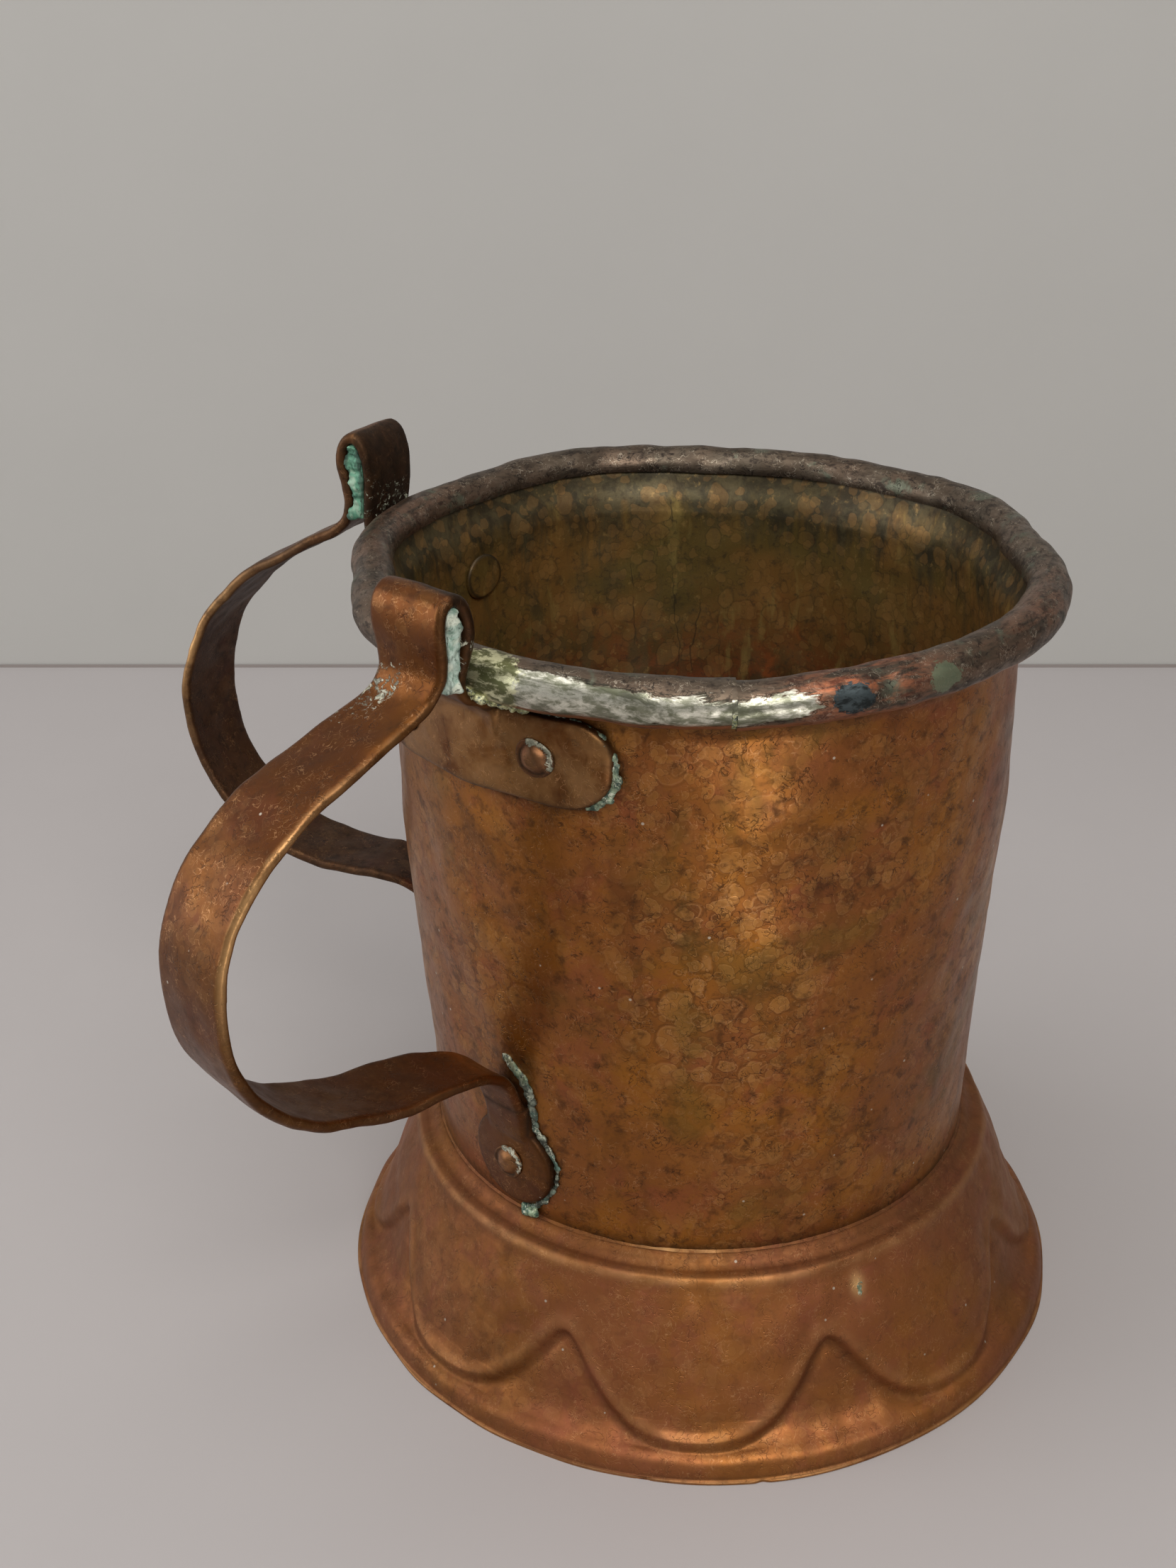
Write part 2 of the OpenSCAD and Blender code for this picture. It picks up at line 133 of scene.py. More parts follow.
def new_mesh_object(name, points, faces, materials=(), sharp=55):
    """An object from points in mm, with outward normals and smooth shading."""
    mesh = bpy.data.meshes.new(name)
    mesh.from_pydata((np.asarray(points) * MM).tolist(), [],
                     [tuple(int(i) for i in f) for f in faces])
    bm = bmesh.new()
    bm.from_mesh(mesh)
    bmesh.ops.recalc_face_normals(bm, faces=bm.faces)
    bm.to_mesh(mesh)
    bm.free()
    for m in materials:
        mesh.materials.append(m)
    mesh.shade_smooth()
    mesh.set_sharp_from_angle(angle=math.radians(sharp))
    obj = bpy.data.objects.new(name, mesh)
    bpy.context.scene.collection.objects.link(obj)
    return obj


def points_of(obj):
    n = len(obj.data.vertices)
    co = np.empty(n * 3, np.float32)
    obj.data.vertices.foreach_get("co", co)
    return co.reshape(-1, 3).astype(float) / MM


def set_points(obj, points):
    obj.data.vertices.foreach_set("co", (np.asarray(points) * MM).astype(np.float32).ravel())
    obj.data.update()


def normals_of(obj):
    n = len(obj.data.vertices)
    no = np.empty(n * 3, np.float32)
    obj.data.vertices.foreach_get("normal", no)
    return no.reshape(-1, 3).astype(float)


def paint(obj, r=0.0, g=0.0, b=0.0):
    """Stores three masks on the vertices, for the materials to read."""
    n = len(obj.data.vertices)
    atts = obj.data.color_attributes
    att = atts.get("mask") or atts.new("mask", "FLOAT_COLOR", "POINT")
    data = np.zeros((n, 4), np.float32)
    for i, x in enumerate((r, g, b)):
        data[:, i] = np.clip(x, 0, 1)
    data[:, 3] = 1
    att.data.foreach_set("color", data.ravel())


def dense(path, step, closed=False):
    """The same path with a point at least every step mm."""
    path = [np.asarray(p, float) for p in path]
    if closed:
        path = path + [path[0]]
    out = []
    for a, b in zip(path[:-1], path[1:]):
        n = max(1, int(math.ceil(np.linalg.norm(b - a) / step)))
        for i in range(n):
            out.append(a + (b - a) * i / n)
    if not closed:
        out.append(path[-1])
    return np.array(out)


def soften(path, rounds):
    """Rounds the corners of a dense open path."""
    p = np.array(path, float)
    for _ in range(rounds):
        p[1:-1] = 0.5 * p[1:-1] + 0.25 * (p[:-2] + p[2:])
    return p


def lathe_points(profile, count, start=0.0, sweep=360.0):
    """Points of a revolved profile, (count, len(profile), 3)."""
    full = abs(sweep - 360.0) < 1e-6
    a = np.radians(start + sweep * np.arange(count) / (count if full else count - 1))
    r, z = profile[:, 0], profile[:, 1]
    return np.stack([np.outer(np.cos(a), r), np.outer(np.sin(a), r), np.tile(z, (count, 1))], -1)


def catmull(points, steps):
    """A smooth curve through points."""
    p = np.asarray(points, float)
    out = []
    n = len(p)
    for i in range(n - 1):
        a, b, c, d = p[max(i - 1, 0)], p[i], p[i + 1], p[min(i + 2, n - 1)]
        for k in range(steps):
            t = k / steps
            out.append(0.5 * (2 * b + (c - a) * t + (2 * a - 5 * b + 4 * c - d) * t ** 2
                              + (3 * b - a - 3 * c + d) * t ** 3))
    out.append(p[-1])
    return np.array(out)


def even(path, step):
    """The path with points evenly spaced."""
    seg = np.linalg.norm(np.diff(path, axis=0), axis=1)
    s = np.concatenate([[0], np.cumsum(seg)])
    n = max(2, int(round(s[-1] / step)) + 1)
    t = np.linspace(0, s[-1], n)
    return np.stack([np.interp(t, s, path[:, k]) for k in range(path.shape[1])], -1)


def voxel_union(obj, voxel, smooth_rounds):
    """Fuses the loose shells of a mesh into one skin and smooths it."""
    mod = obj.modifiers.new("fuse", "REMESH")
    mod.mode = "VOXEL"
    mod.voxel_size = voxel * MM
    mod.use_smooth_shade = True
    sm = obj.modifiers.new("soften", "SMOOTH")
    sm.factor = 0.5
    sm.iterations = smooth_rounds
    dg = bpy.context.evaluated_depsgraph_get()
    mesh = bpy.data.meshes.new_from_object(obj.evaluated_get(dg), depsgraph=dg)
    old = obj.data
    mats = list(old.materials)
    obj.modifiers.clear()
    obj.data = mesh
    bpy.data.meshes.remove(old)
    mesh.name = obj.name
    mesh.materials.clear()
    for m in mats:
        mesh.materials.append(m)
    mesh.shade_smooth()
    return obj


def spin(points, degrees):
    """Turns points about the vessel's axis."""
    a = math.radians(degrees)
    c, s = math.cos(a), math.sin(a)
    p = np.array(points, float)
    x, y = p[..., 0].copy(), p[..., 1].copy()
    p[..., 0] = c * x - s * y
    p[..., 1] = s * x + c * y
    return p


def on_wall(arc, z, height):
    """Points standing height mm off the wall, arc mm round it from azimuth 0."""
    arc, z, height = np.broadcast_arrays(np.asarray(arc, float), z, height)
    a = arc / MOUTH_R
    r = body_r(z) + height
    return np.stack([r * np.cos(a), r * np.sin(a), z], -1)


def turned(x, y, angle):
    """x and y turned by an angle in radians."""
    c, s = np.cos(angle), np.sin(angle)
    return x * c - y * s, x * s + y * c


def tube_faces(rows, round_count):
    """Faces of a tube made of rows of points, with a cap at each end."""
    faces = [tuple(f) for f in grid_faces(rows, round_count, False, True)]
    faces.append(tuple(range(round_count)))
    faces.append(tuple((rows - 1) * round_count + k for k in range(round_count))[::-1])
    return faces


# ---------------------------------------------------------------- material helpers

class Shade:
    """A small wrapper round a material's node tree."""

    def __init__(self, name):
        self.mat = bpy.data.materials.new(name)
        self.mat.use_nodes = True
        self.tree = self.mat.node_tree
        self.tree.nodes.clear()
        self.out = self.tree.nodes.new("ShaderNodeOutputMaterial")
        self.bsdf = self.tree.nodes.new("ShaderNodeBsdfPrincipled")
        self.tree.links.new(self.bsdf.outputs["BSDF"], self.out.inputs["Surface"])
        tc = self.tree.nodes.new("ShaderNodeTexCoord")
        sc = self.tree.nodes.new("ShaderNodeVectorMath")
        sc.operation = "SCALE"
        sc.inputs["Scale"].default_value = 1000.0
        self.tree.links.new(tc.outputs["Object"], sc.inputs[0])
        self.pos = sc.outputs[0]  # position in mm
        self._mask = None

    def put(self, socket, value):
        if isinstance(value, bpy.types.NodeSocket):
            self.tree.links.new(value, socket)
        elif value is not None:
            socket.default_value = value

    def mask(self, i):
        if self._mask is None:
            a = self.tree.nodes.new("ShaderNodeAttribute")
            a.attribute_name = "mask"
            s = self.tree.nodes.new("ShaderNodeSeparateColor")
            self.tree.links.new(a.outputs["Color"], s.inputs[0])
            self._mask = s
        return self._mask.outputs[i]

    def math(self, op, a, b=None, clamp=False):
        n = self.tree.nodes.new("ShaderNodeMath")
        n.operation = op
        n.use_clamp = clamp
        self.put(n.inputs[0], a)
        if b is not None:
            self.put(n.inputs[1], b)
        return n.outputs[0]

    def times(self, a, b):
        return self.math("MULTIPLY", a, b, False)

    def plus(self, a, b):
        return self.math("ADD", a, b, False)

    def minus(self, a, b):
        return self.math("SUBTRACT", a, b, False)

    def swing(self, noise, height):
        """Noise moved to lie about 0, with height for its full reach."""
        return self.times(self.minus(noise, 0.5), height)

    def vec(self, op, a, b):
        n = self.tree.nodes.new("ShaderNodeVectorMath")
        n.operation = op
        self.put(n.inputs[0], a)
        self.put(n.inputs[1], b)
        return n.outputs[0]

    def stretch(self, v, scale):
        return self.vec("MULTIPLY", v, scale)

    def noise(self, size, detail=3.0, rough=0.55, distort=0.0, v=None, w=0.0, out="Fac"):
        """Noise whose features are about size mm across, from 0 to 1."""
        n = self.tree.nodes.new("ShaderNodeTexNoise")
        n.noise_dimensions = "4D"
        self.put(n.inputs["Vector"], v or self.pos)
        n.inputs["W"].default_value = w
        n.inputs["Scale"].default_value = 1.0 / size
        n.inputs["Detail"].default_value = detail
        n.inputs["Roughness"].default_value = rough
        n.inputs["Distortion"].default_value = distort
        return n.outputs[out]

    def jitter(self, size, amount, w):
        """The position shaken by noise, to break up straight patterns."""
        c = self.vec("SUBTRACT", self.noise(size, 2.0, 0.5, w=w, out="Color"), (0.5, 0.5, 0.5))
        return self.vec("ADD", self.pos, self.stretch(c, (amount,) * 3))

    def cells(self, size, feature="F1", v=None, out="Distance"):
        n = self.tree.nodes.new("ShaderNodeTexVoronoi")
        n.feature = feature
        self.put(n.inputs["Vector"], v or self.pos)
        n.inputs["Scale"].default_value = 1.0 / size
        return n.outputs[out]

    def ramp(self, fac, *stops):
        """A colour ramp. Each stop is (position, value or colour)."""
        n = self.tree.nodes.new("ShaderNodeValToRGB")
        self.put(n.inputs[0], fac)
        e = n.color_ramp.elements
        while len(e) < len(stops):
            e.new(0.5)
        for el, (pos, val) in zip(e, stops):
            el.position = pos
            el.color = (val, val, val, 1) if isinstance(val, (int, float)) else (*val[:3], 1)
        return n.outputs[0]

    def step(self, fac, lo, hi):
        """0 below lo, 1 above hi, smooth between."""
        n = self.tree.nodes.new("ShaderNodeMapRange")
        n.interpolation_type = "SMOOTHSTEP"
        self.put(n.inputs["Value"], fac)
        n.inputs["From Min"].default_value = lo
        n.inputs["From Max"].default_value = hi
        return n.outputs[0]

    def mix(self, fac, a, b, blend="MIX"):
        n = self.tree.nodes.new("ShaderNodeMix")
        n.data_type = "RGBA"
        n.blend_type = blend
        n.clamp_factor = True
        self.put(n.inputs[0], fac)
        for sock, val in ((n.inputs[6], a), (n.inputs[7], b)):
            if isinstance(val, tuple):
                val = (*val[:3], 1)
            self.put(sock, val)
        return n.outputs[2]

    def over(self, under, color, fac, lo, hi, amount):
        """The colour laid over another where fac goes from lo to hi, by amount at most."""
        return self.mix(self.times(self.step(fac, lo, hi), amount), under, color)

    def blob(self, centre, radius, shape=(1, 1, 1)):
        """1 at a point, falling to 0 at radius mm from it."""
        d = self.stretch(self.vec("SUBTRACT", self.pos, centre), shape)
        n = self.tree.nodes.new("ShaderNodeVectorMath")
        n.operation = "LENGTH"
        self.tree.links.new(d, n.inputs[0])
        return self.step(n.outputs["Value"], radius, radius * 0.25)

    def xyz(self, i, v=None):
        n = self.tree.nodes.new("ShaderNodeSeparateXYZ")
        self.tree.links.new(v or self.pos, n.inputs[0])
        return n.outputs[i]

    def around(self, radius, seam):
        """The position unrolled: mm round the axis, height, distance from the axis."""
        rot = self.tree.nodes.new("ShaderNodeVectorRotate")
        rot.rotation_type = "Z_AXIS"
        rot.inputs["Angle"].default_value = math.radians(180 - seam)
        self.tree.links.new(self.pos, rot.inputs["Vector"])
        x, y, z = (self.xyz(i, rot.outputs[0]) for i in range(3))
        r = self.math("SQRT", self.plus(self.times(x, x), self.times(y, y)))
        arc = self.times(self.math("ARCTAN2", y, x), radius)
        c = self.tree.nodes.new("ShaderNodeCombineXYZ")
        for sock, val in zip(c.inputs, (arc, z, r)):
            self.tree.links.new(val, sock)
        return c.outputs[0]

    def patches(self, size, w, least=0.18, most=0.52):
        """Rounded islands of uneven size: how far inside one a point is, and the island's own
        shade."""
        v = self.vec("ADD", self.jitter(size * 0.9, size * 0.8, w), (w * 7.3, w * 3.1, w * 5.7))
        shade = self.cells(size, "F1", v, "Color")
        reach = self.ramp(shade, (0.25, least), (0.75, most))
        depth = self.minus(reach, self.cells(size, "F1", v))
        return depth, self.ramp(shade, (0.3, 0.0), (0.7, 1.0))

    def lines(self, size, w, width, distort=1.6):
        """Short wandering lines."""
        n = self.noise(size, 1.5, 0.5, distort, w=w)
        near = self.math("ABSOLUTE", self.minus(n, 0.5))
        return self.times(self.step(near, width, width * 0.3),
                          self.step(self.noise(size * 1.6, 2, 0.5, w=w + 20), 0.46, 0.58))

    def bump(self, height, strength=0.3, distance=0.1, normal=None):
        """Bump from a height between 0 and 1, distance in mm."""
        n = self.tree.nodes.new("ShaderNodeBump")
        n.inputs["Strength"].default_value = strength
        n.inputs["Distance"].default_value = distance * MM
        self.put(n.inputs["Height"], height)
        if normal is not None:
            self.put(n.inputs["Normal"], normal)
        return n.outputs[0]

    def finish(self, color, rough, metallic=1.0, normal=None):
        self.put(self.bsdf.inputs["Base Color"], color)
        self.put(self.bsdf.inputs["Roughness"], rough)
        self.put(self.bsdf.inputs["Metallic"], metallic)
        if normal is not None:
            self.put(self.bsdf.inputs["Normal"], normal)
        return self.mat


def srgb(r, g, b):
    """Linear colour from a colour as the eye sees it, 0 to 255."""
    def lin(c):
        c /= 255.0
        return c / 12.92 if c <= 0.04045 else ((c + 0.055) / 1.055) ** 2.4
    return (lin(r), lin(g), lin(b))


def wall_point(th, z, r=56.0):
    """Where the wall is at an azimuth from the camera's side, in mm."""
    a = math.radians(FRONT + th)
    return (r * math.cos(a), r * math.sin(a), z)


def copper(name, base, gold, red, dark, zone=None, streak=0.0, gloss=0.40, islands=1.0, grain=1.0,
           pale_crust=False):
    """Aged copper: a brown skin with golden and red clouds, rounded islands with thin pale
    outlines, wandering cracks and specks. Mask red lightens: rubbed wear and painted
    highlights. Mask green darkens: dirty crevices and painted shade. Mask blue is green and
    white crust."""
    s = Shade(name)
    big = s.noise(26, 3, 0.6, 0.4, w=0.7)
    mid = s.noise(9, 4, 0.62, 0.6, w=2.1)
    fine = s.noise(2.6, 4, 0.65, 0.3, w=3.7)
    grit = s.noise(0.8, 3, 0.65, 0.0, w=5.2)
    c = s.mix(s.step(big, 0.40, 0.64), base, gold)
    c = s.over(c, red, mid, 0.48, 0.70, 0.65)
    c = s.over(c, dark, s.noise(15, 4, 0.6, 0.5, w=8.3), 0.50, 0.72, 0.55 * grain)
    patchy = s.step(s.noise(24, 3, 0.5, 0.0, w=11.0), 0.40, 0.58)
    if zone is not None:
        patchy = s.math("MAXIMUM", s.times(patchy, 0.55), s.blob(*zone))
    patchy = s.times(patchy, islands)
    relief = 0.5
    for size, w, amount in ((7.0, 0.4, 0.75), (3.4, 1.7, 0.8), (1.7, 2.9, 0.6)):
        reach, shade = s.patches(size, w)
        inside = s.times(s.step(reach, 0.0, 0.05), s.times(patchy, amount))
        light = s.times(inside, s.step(shade, 0.35, 0.8))
        c = s.mix(light, c, s.mix(0.55, c, gold))
        c = s.mix(s.times(light, 0.19), c, (0.60, 0.36, 0.14), "SCREEN" if size > 3 else "MIX")
        c = s.mix(s.times(inside, s.step(shade, 0.45, 0.1)), c, s.mix(0.5, c, dark))
        edge = s.step(s.math("ABSOLUTE", s.minus(reach, 0.02)), 0.035, 0.008)
        c = s.mix(s.times(edge, s.times(patchy, 0.32)), c, srgb(190, 142, 92))
        gap = s.step(s.math("ABSOLUTE", s.plus(reach, 0.05)), 0.05, 0.01)
        c = s.mix(s.times(gap, s.times(patchy, 0.40)), c, dark)
        relief = s.plus(s.times(s.step(reach, -0.06, 0.06), 0.3 * islands), relief)
    cracks = s.lines(2.4, 6.6, 0.022)
    c = s.mix(s.times(cracks, 0.7 * grain), c, dark)
    glint = s.lines(1.9, 9.6, 0.016)
    c = s.mix(s.times(glint, 0.40), c, srgb(188, 140, 96))
    c = s.over(c, dark, fine, 0.50, 0.70, 0.65 * grain)
    c = s.over(c, gold, fine, 0.46, 0.30, 0.30)
    c = s.over(c, dark, grit, 0.56, 0.76, 0.45 * grain)
    c = s.over(c, red, grit, 0.42, 0.28, 0.25)
    if streak:
        tall = s.stretch(s.jitter(14, 6, 6.0), (1.0, 1.0, 0.14))
        c = s.over(c, dark, s.noise(7, 3, 0.6, v=tall, w=1.0), 0.50, 0.75, streak)
        olive = s.times(s.step(s.noise(22, 3, 0.6, 0.5, w=17.0), 0.54, 0.68), 0.5)
        c = s.mix(olive, c, s.mix(fine, srgb(120, 92, 34), srgb(92, 66, 26)))
    dust = s.cells(6.0, "F1", s.vec("ADD", s.pos, (3.3, 1.1, 7.7)))
    c = s.over(c, srgb(196, 184, 166), dust, 0.055, 0.03, 0.8)
    # mask red: rubbed wear and painted highlights, made lighter
    wear_and_highlight = s.times(s.mask(0), s.step(mid, 0.30, 0.60))
    c = s.mix(wear_and_highlight, c, srgb(214, 168, 112))
    # mask green: dirty crevices and painted shade, made darker
    grime_and_shade = s.times(s.mask(1), s.ramp(s.noise(2.6, 4, 0.65, 0.4, w=9.0), (0.3, 0.55), (0.6, 1.0)))
    c = s.mix(grime_and_shade, c, srgb(38, 27, 17))
    rough = s.plus(s.swing(fine, 0.30), gloss)
    rough = s.plus(rough, s.swing(mid, 0.25))
    rough = s.minus(rough, s.times(wear_and_highlight, 0.12))
    rough = s.math("ADD", rough, s.times(grime_and_shade, 0.2), clamp=True)
    n = s.bump(s.noise(6.5, 3, 0.5, 0.3, w=14.0), 0.5, 0.14)
    n = s.bump(relief, 0.35, 0.10, n)
    n = s.bump(s.minus(1.0, cracks), 0.5, 0.08, n)
    n = s.bump(fine, 0.35, 0.07, n)
    n = s.bump(grit, 0.35, 0.03, n)
    edge = s.plus(s.mask(2), s.swing(s.noise(1.5, 4, 0.75, 0.8, w=12.0), 1.3))
    verd = s.step(edge, 0.50, 0.62)
    low, high = srgb(96, 104, 80), srgb(184, 188, 166)
    if pale_crust:
        low, high = srgb(104, 104, 88), srgb(176, 174, 154)
    tint = s.mix(s.step(s.noise(2.2, 3, w=3.0), 0.42, 0.58), low, high)
    c = s.mix(verd, c, s.mix(s.step(grit, 0.52, 0.68), tint, srgb(40, 38, 28)))
    n = s.bump(verd, 0.8, 0.14, n)
    metal = s.math("SUBTRACT", 0.86, s.times(verd, 0.8), clamp=True)
    return s.finish(c, rough, metal, n)


def verdigris(name, pale, mid_green, deep, whiteness=0.4):
    """Chalky green and white corrosion with dark pits."""
    s = Shade(name)
    a = s.noise(2.4, 4, 0.65, 0.6, w=1.0)
    b = s.noise(0.9, 4, 0.7, 0.4, w=4.0)
    d = s.noise(4.0, 3, 0.6, 0.8, w=7.0)
    c = s.mix(s.step(a, 0.36, 0.62), mid_green, pale)
    c = s.over(c, srgb(206, 208, 190), d, 0.50, 0.64, whiteness)
    c = s.over(c, deep, b, 0.54, 0.68, 0.75)
    c = s.over(c, deep, d, 0.42, 0.30, 0.6)
    c = s.mix(s.mask(1), c, deep)
    n = s.bump(a, 0.9, 0.35)
    n = s.bump(b, 0.8, 0.16, n)
    return s.finish(c, s.ramp(b, (0.3, 0.6), (0.8, 0.9)), 0.05, n)


def solder_metal(name):
    """Grey-white solder with yellow-green bloom and black pits. Mask blue greens it."""
    s = Shade(name)
    a = s.noise(1.8, 4, 0.65, 0.5, w=2.0)
    b = s.noise(0.7, 3, 0.7, 0.2, w=6.0)
    d = s.noise(4.5, 3, 0.6, 0.6, w=9.0)
    c = s.mix(s.step(a, 0.40, 0.60), srgb(62, 68, 60), srgb(128, 134, 118))
    c = s.over(c, srgb(64, 94, 84), d, 0.48, 0.58, 0.75)
    c = s.over(c, srgb(18, 22, 18), b, 0.53, 0.64, 0.9)
    c = s.over(c, srgb(34, 34, 26), d, 0.46, 0.36, 0.75)
    c = s.mix(s.times(s.mask(2), 0.75), c,
              s.mix(s.step(a, 0.4, 0.6), srgb(50, 84, 70), srgb(150, 170, 136)))
    # thin pale streaks: painted highlights on the solder
    c = s.mix(s.times(s.lines(1.5, 3.5, 0.03), 0.8), c, srgb(196, 198, 178))
    bloom = s.times(s.mask(0), s.step(b, 0.62, 0.45))
    c = s.mix(bloom, c, s.mix(s.step(a, 0.4, 0.6), srgb(132, 134, 84), srgb(206, 204, 160)))
    n = s.bump(a, 0.9, 0.25)
    n = s.bump(b, 0.7, 0.12, n)
    return s.finish(c, s.ramp(a, (0.3, 0.65), (0.7, 0.42)), 0.35, n)


BODY = copper("body_copper", srgb(136, 83, 41), srgb(152, 96, 34), srgb(142, 79, 50),
              srgb(68, 41, 21), zone=(wall_point(4, 96), 30, (1.15, 1.0, 0.75)), streak=0.35,
              gloss=0.38)
FOOT = copper("foot_copper", srgb(138, 84, 50), srgb(142, 89, 42), srgb(138, 79, 55),
              srgb(86, 52, 32), gloss=0.50, islands=0.22, grain=0.45)
STRAP = copper("strap_copper", srgb(92, 51, 19), srgb(102, 60, 16), srgb(92, 48, 27),
               srgb(48, 29, 16), gloss=0.40, islands=0.2, grain=0.6, pale_crust=True)
# a darker copy of the strap copper for the far handle: painted shade
SHADED = copper("shaded_rear_strap_copper", srgb(78, 51, 36), srgb(94, 60, 34), srgb(90, 54, 42),
                srgb(38, 27, 20), gloss=0.46, islands=0.2)
RIVET = copper("rivet_copper", srgb(112, 74, 48), srgb(124, 84, 50), srgb(104, 63, 46),
               srgb(62, 42, 28), gloss=0.46, islands=0.25, pale_crust=True)
GREEN = verdigris("loop_verdigris", srgb(172, 188, 176), srgb(106, 136, 120), srgb(38, 44, 36),
                  0.75)
DEEP_GREEN = verdigris("rear_loop_verdigris", srgb(100, 150, 124), srgb(46, 94, 74),
                       srgb(20, 30, 24), 0.30)
SOLDER = solder_metal("old_solder")


def interior_material():
    """The tinned inside, gone olive and brown, with streaks and dark cracks."""
    s = Shade("inside_skin")
    z = s.xyz(2)
    big = s.noise(20, 3, 0.6, 0.5, w=0.2)
    mid = s.noise(6, 4, 0.68, 0.6, w=2.2)
    fine = s.noise(1.8, 4, 0.68, 0.3, w=4.2)
    tall = s.stretch(s.jitter(12, 5, 3.0), (1.0, 1.0, 0.16))
    drip = s.noise(5.0, 4, 0.65, v=tall, w=5.0)
    c = s.mix(s.step(big, 0.36, 0.66), srgb(124, 88, 42), srgb(98, 80, 38))
    low = s.step(s.plus(z, s.swing(mid, 34)), 128, 100)
    c = s.mix(low, c, s.mix(s.step(mid, 0.42, 0.62), srgb(106, 57, 27), srgb(66, 38, 20)))
    rust = s.times(s.step(s.noise(9, 3, 0.6, 0.4, w=15.0), 0.56, 0.68), low)
    c = s.mix(s.times(rust, 0.7), c, srgb(158, 82, 36))
    c = s.over(c, srgb(84, 70, 42), drip, 0.50, 0.66, 0.65)
    c = s.over(c, srgb(150, 130, 72), drip, 0.44, 0.30, 0.45)
    band = s.step(s.plus(z, s.swing(drip, 40)), 134, 146)
    c = s.mix(s.times(band, 0.9), c,
              s.mix(s.step(mid, 0.4, 0.62), srgb(46, 42, 29), srgb(82, 74, 50)))
    c = s.over(c, srgb(66, 54, 32), mid, 0.54, 0.7, 0.65)
    c = s.over(c, srgb(50, 40, 24), fine, 0.52, 0.70, 0.65)
    c = s.over(c, srgb(176, 142, 84), fine, 0.44, 0.28, 0.35)
    for size, w in ((5.5, 2.6), (2.6, 4.4)):
        reach, shade = s.patches(size, w)
        edge = s.step(s.math("ABSOLUTE", reach), 0.04, 0.01)
        c = s.mix(s.times(edge, 0.30), c, srgb(60, 48, 28))
        c = s.over(c, srgb(150, 110, 60), reach, 0, 0.06, s.times(shade, 0.25))
    crack_v = s.stretch(s.jitter(6, 3, 9.0), (1.0, 1.0, 0.05))
    crack = s.step(s.cells(9, "DISTANCE_TO_EDGE", crack_v), 0.018, 0.005)
    crack = s.times(crack, s.step(s.noise(18, 2, w=8.0), 0.56, 0.66))
    c = s.mix(s.times(crack, 0.55), c, srgb(36, 30, 18))
    c = s.mix(s.mask(1), c, srgb(34, 26, 16))
    rough = s.plus(s.times(fine, 0.25), 0.36)
    n = s.bump(mid, 0.5, 0.14)
    n = s.bump(drip, 0.4, 0.12, n)
    n = s.bump(fine, 0.45, 0.08, n)
    return s.finish(c, rough, 0.62, n)


def rim_point(th, z):
    return wall_point(th, z, 66.0)


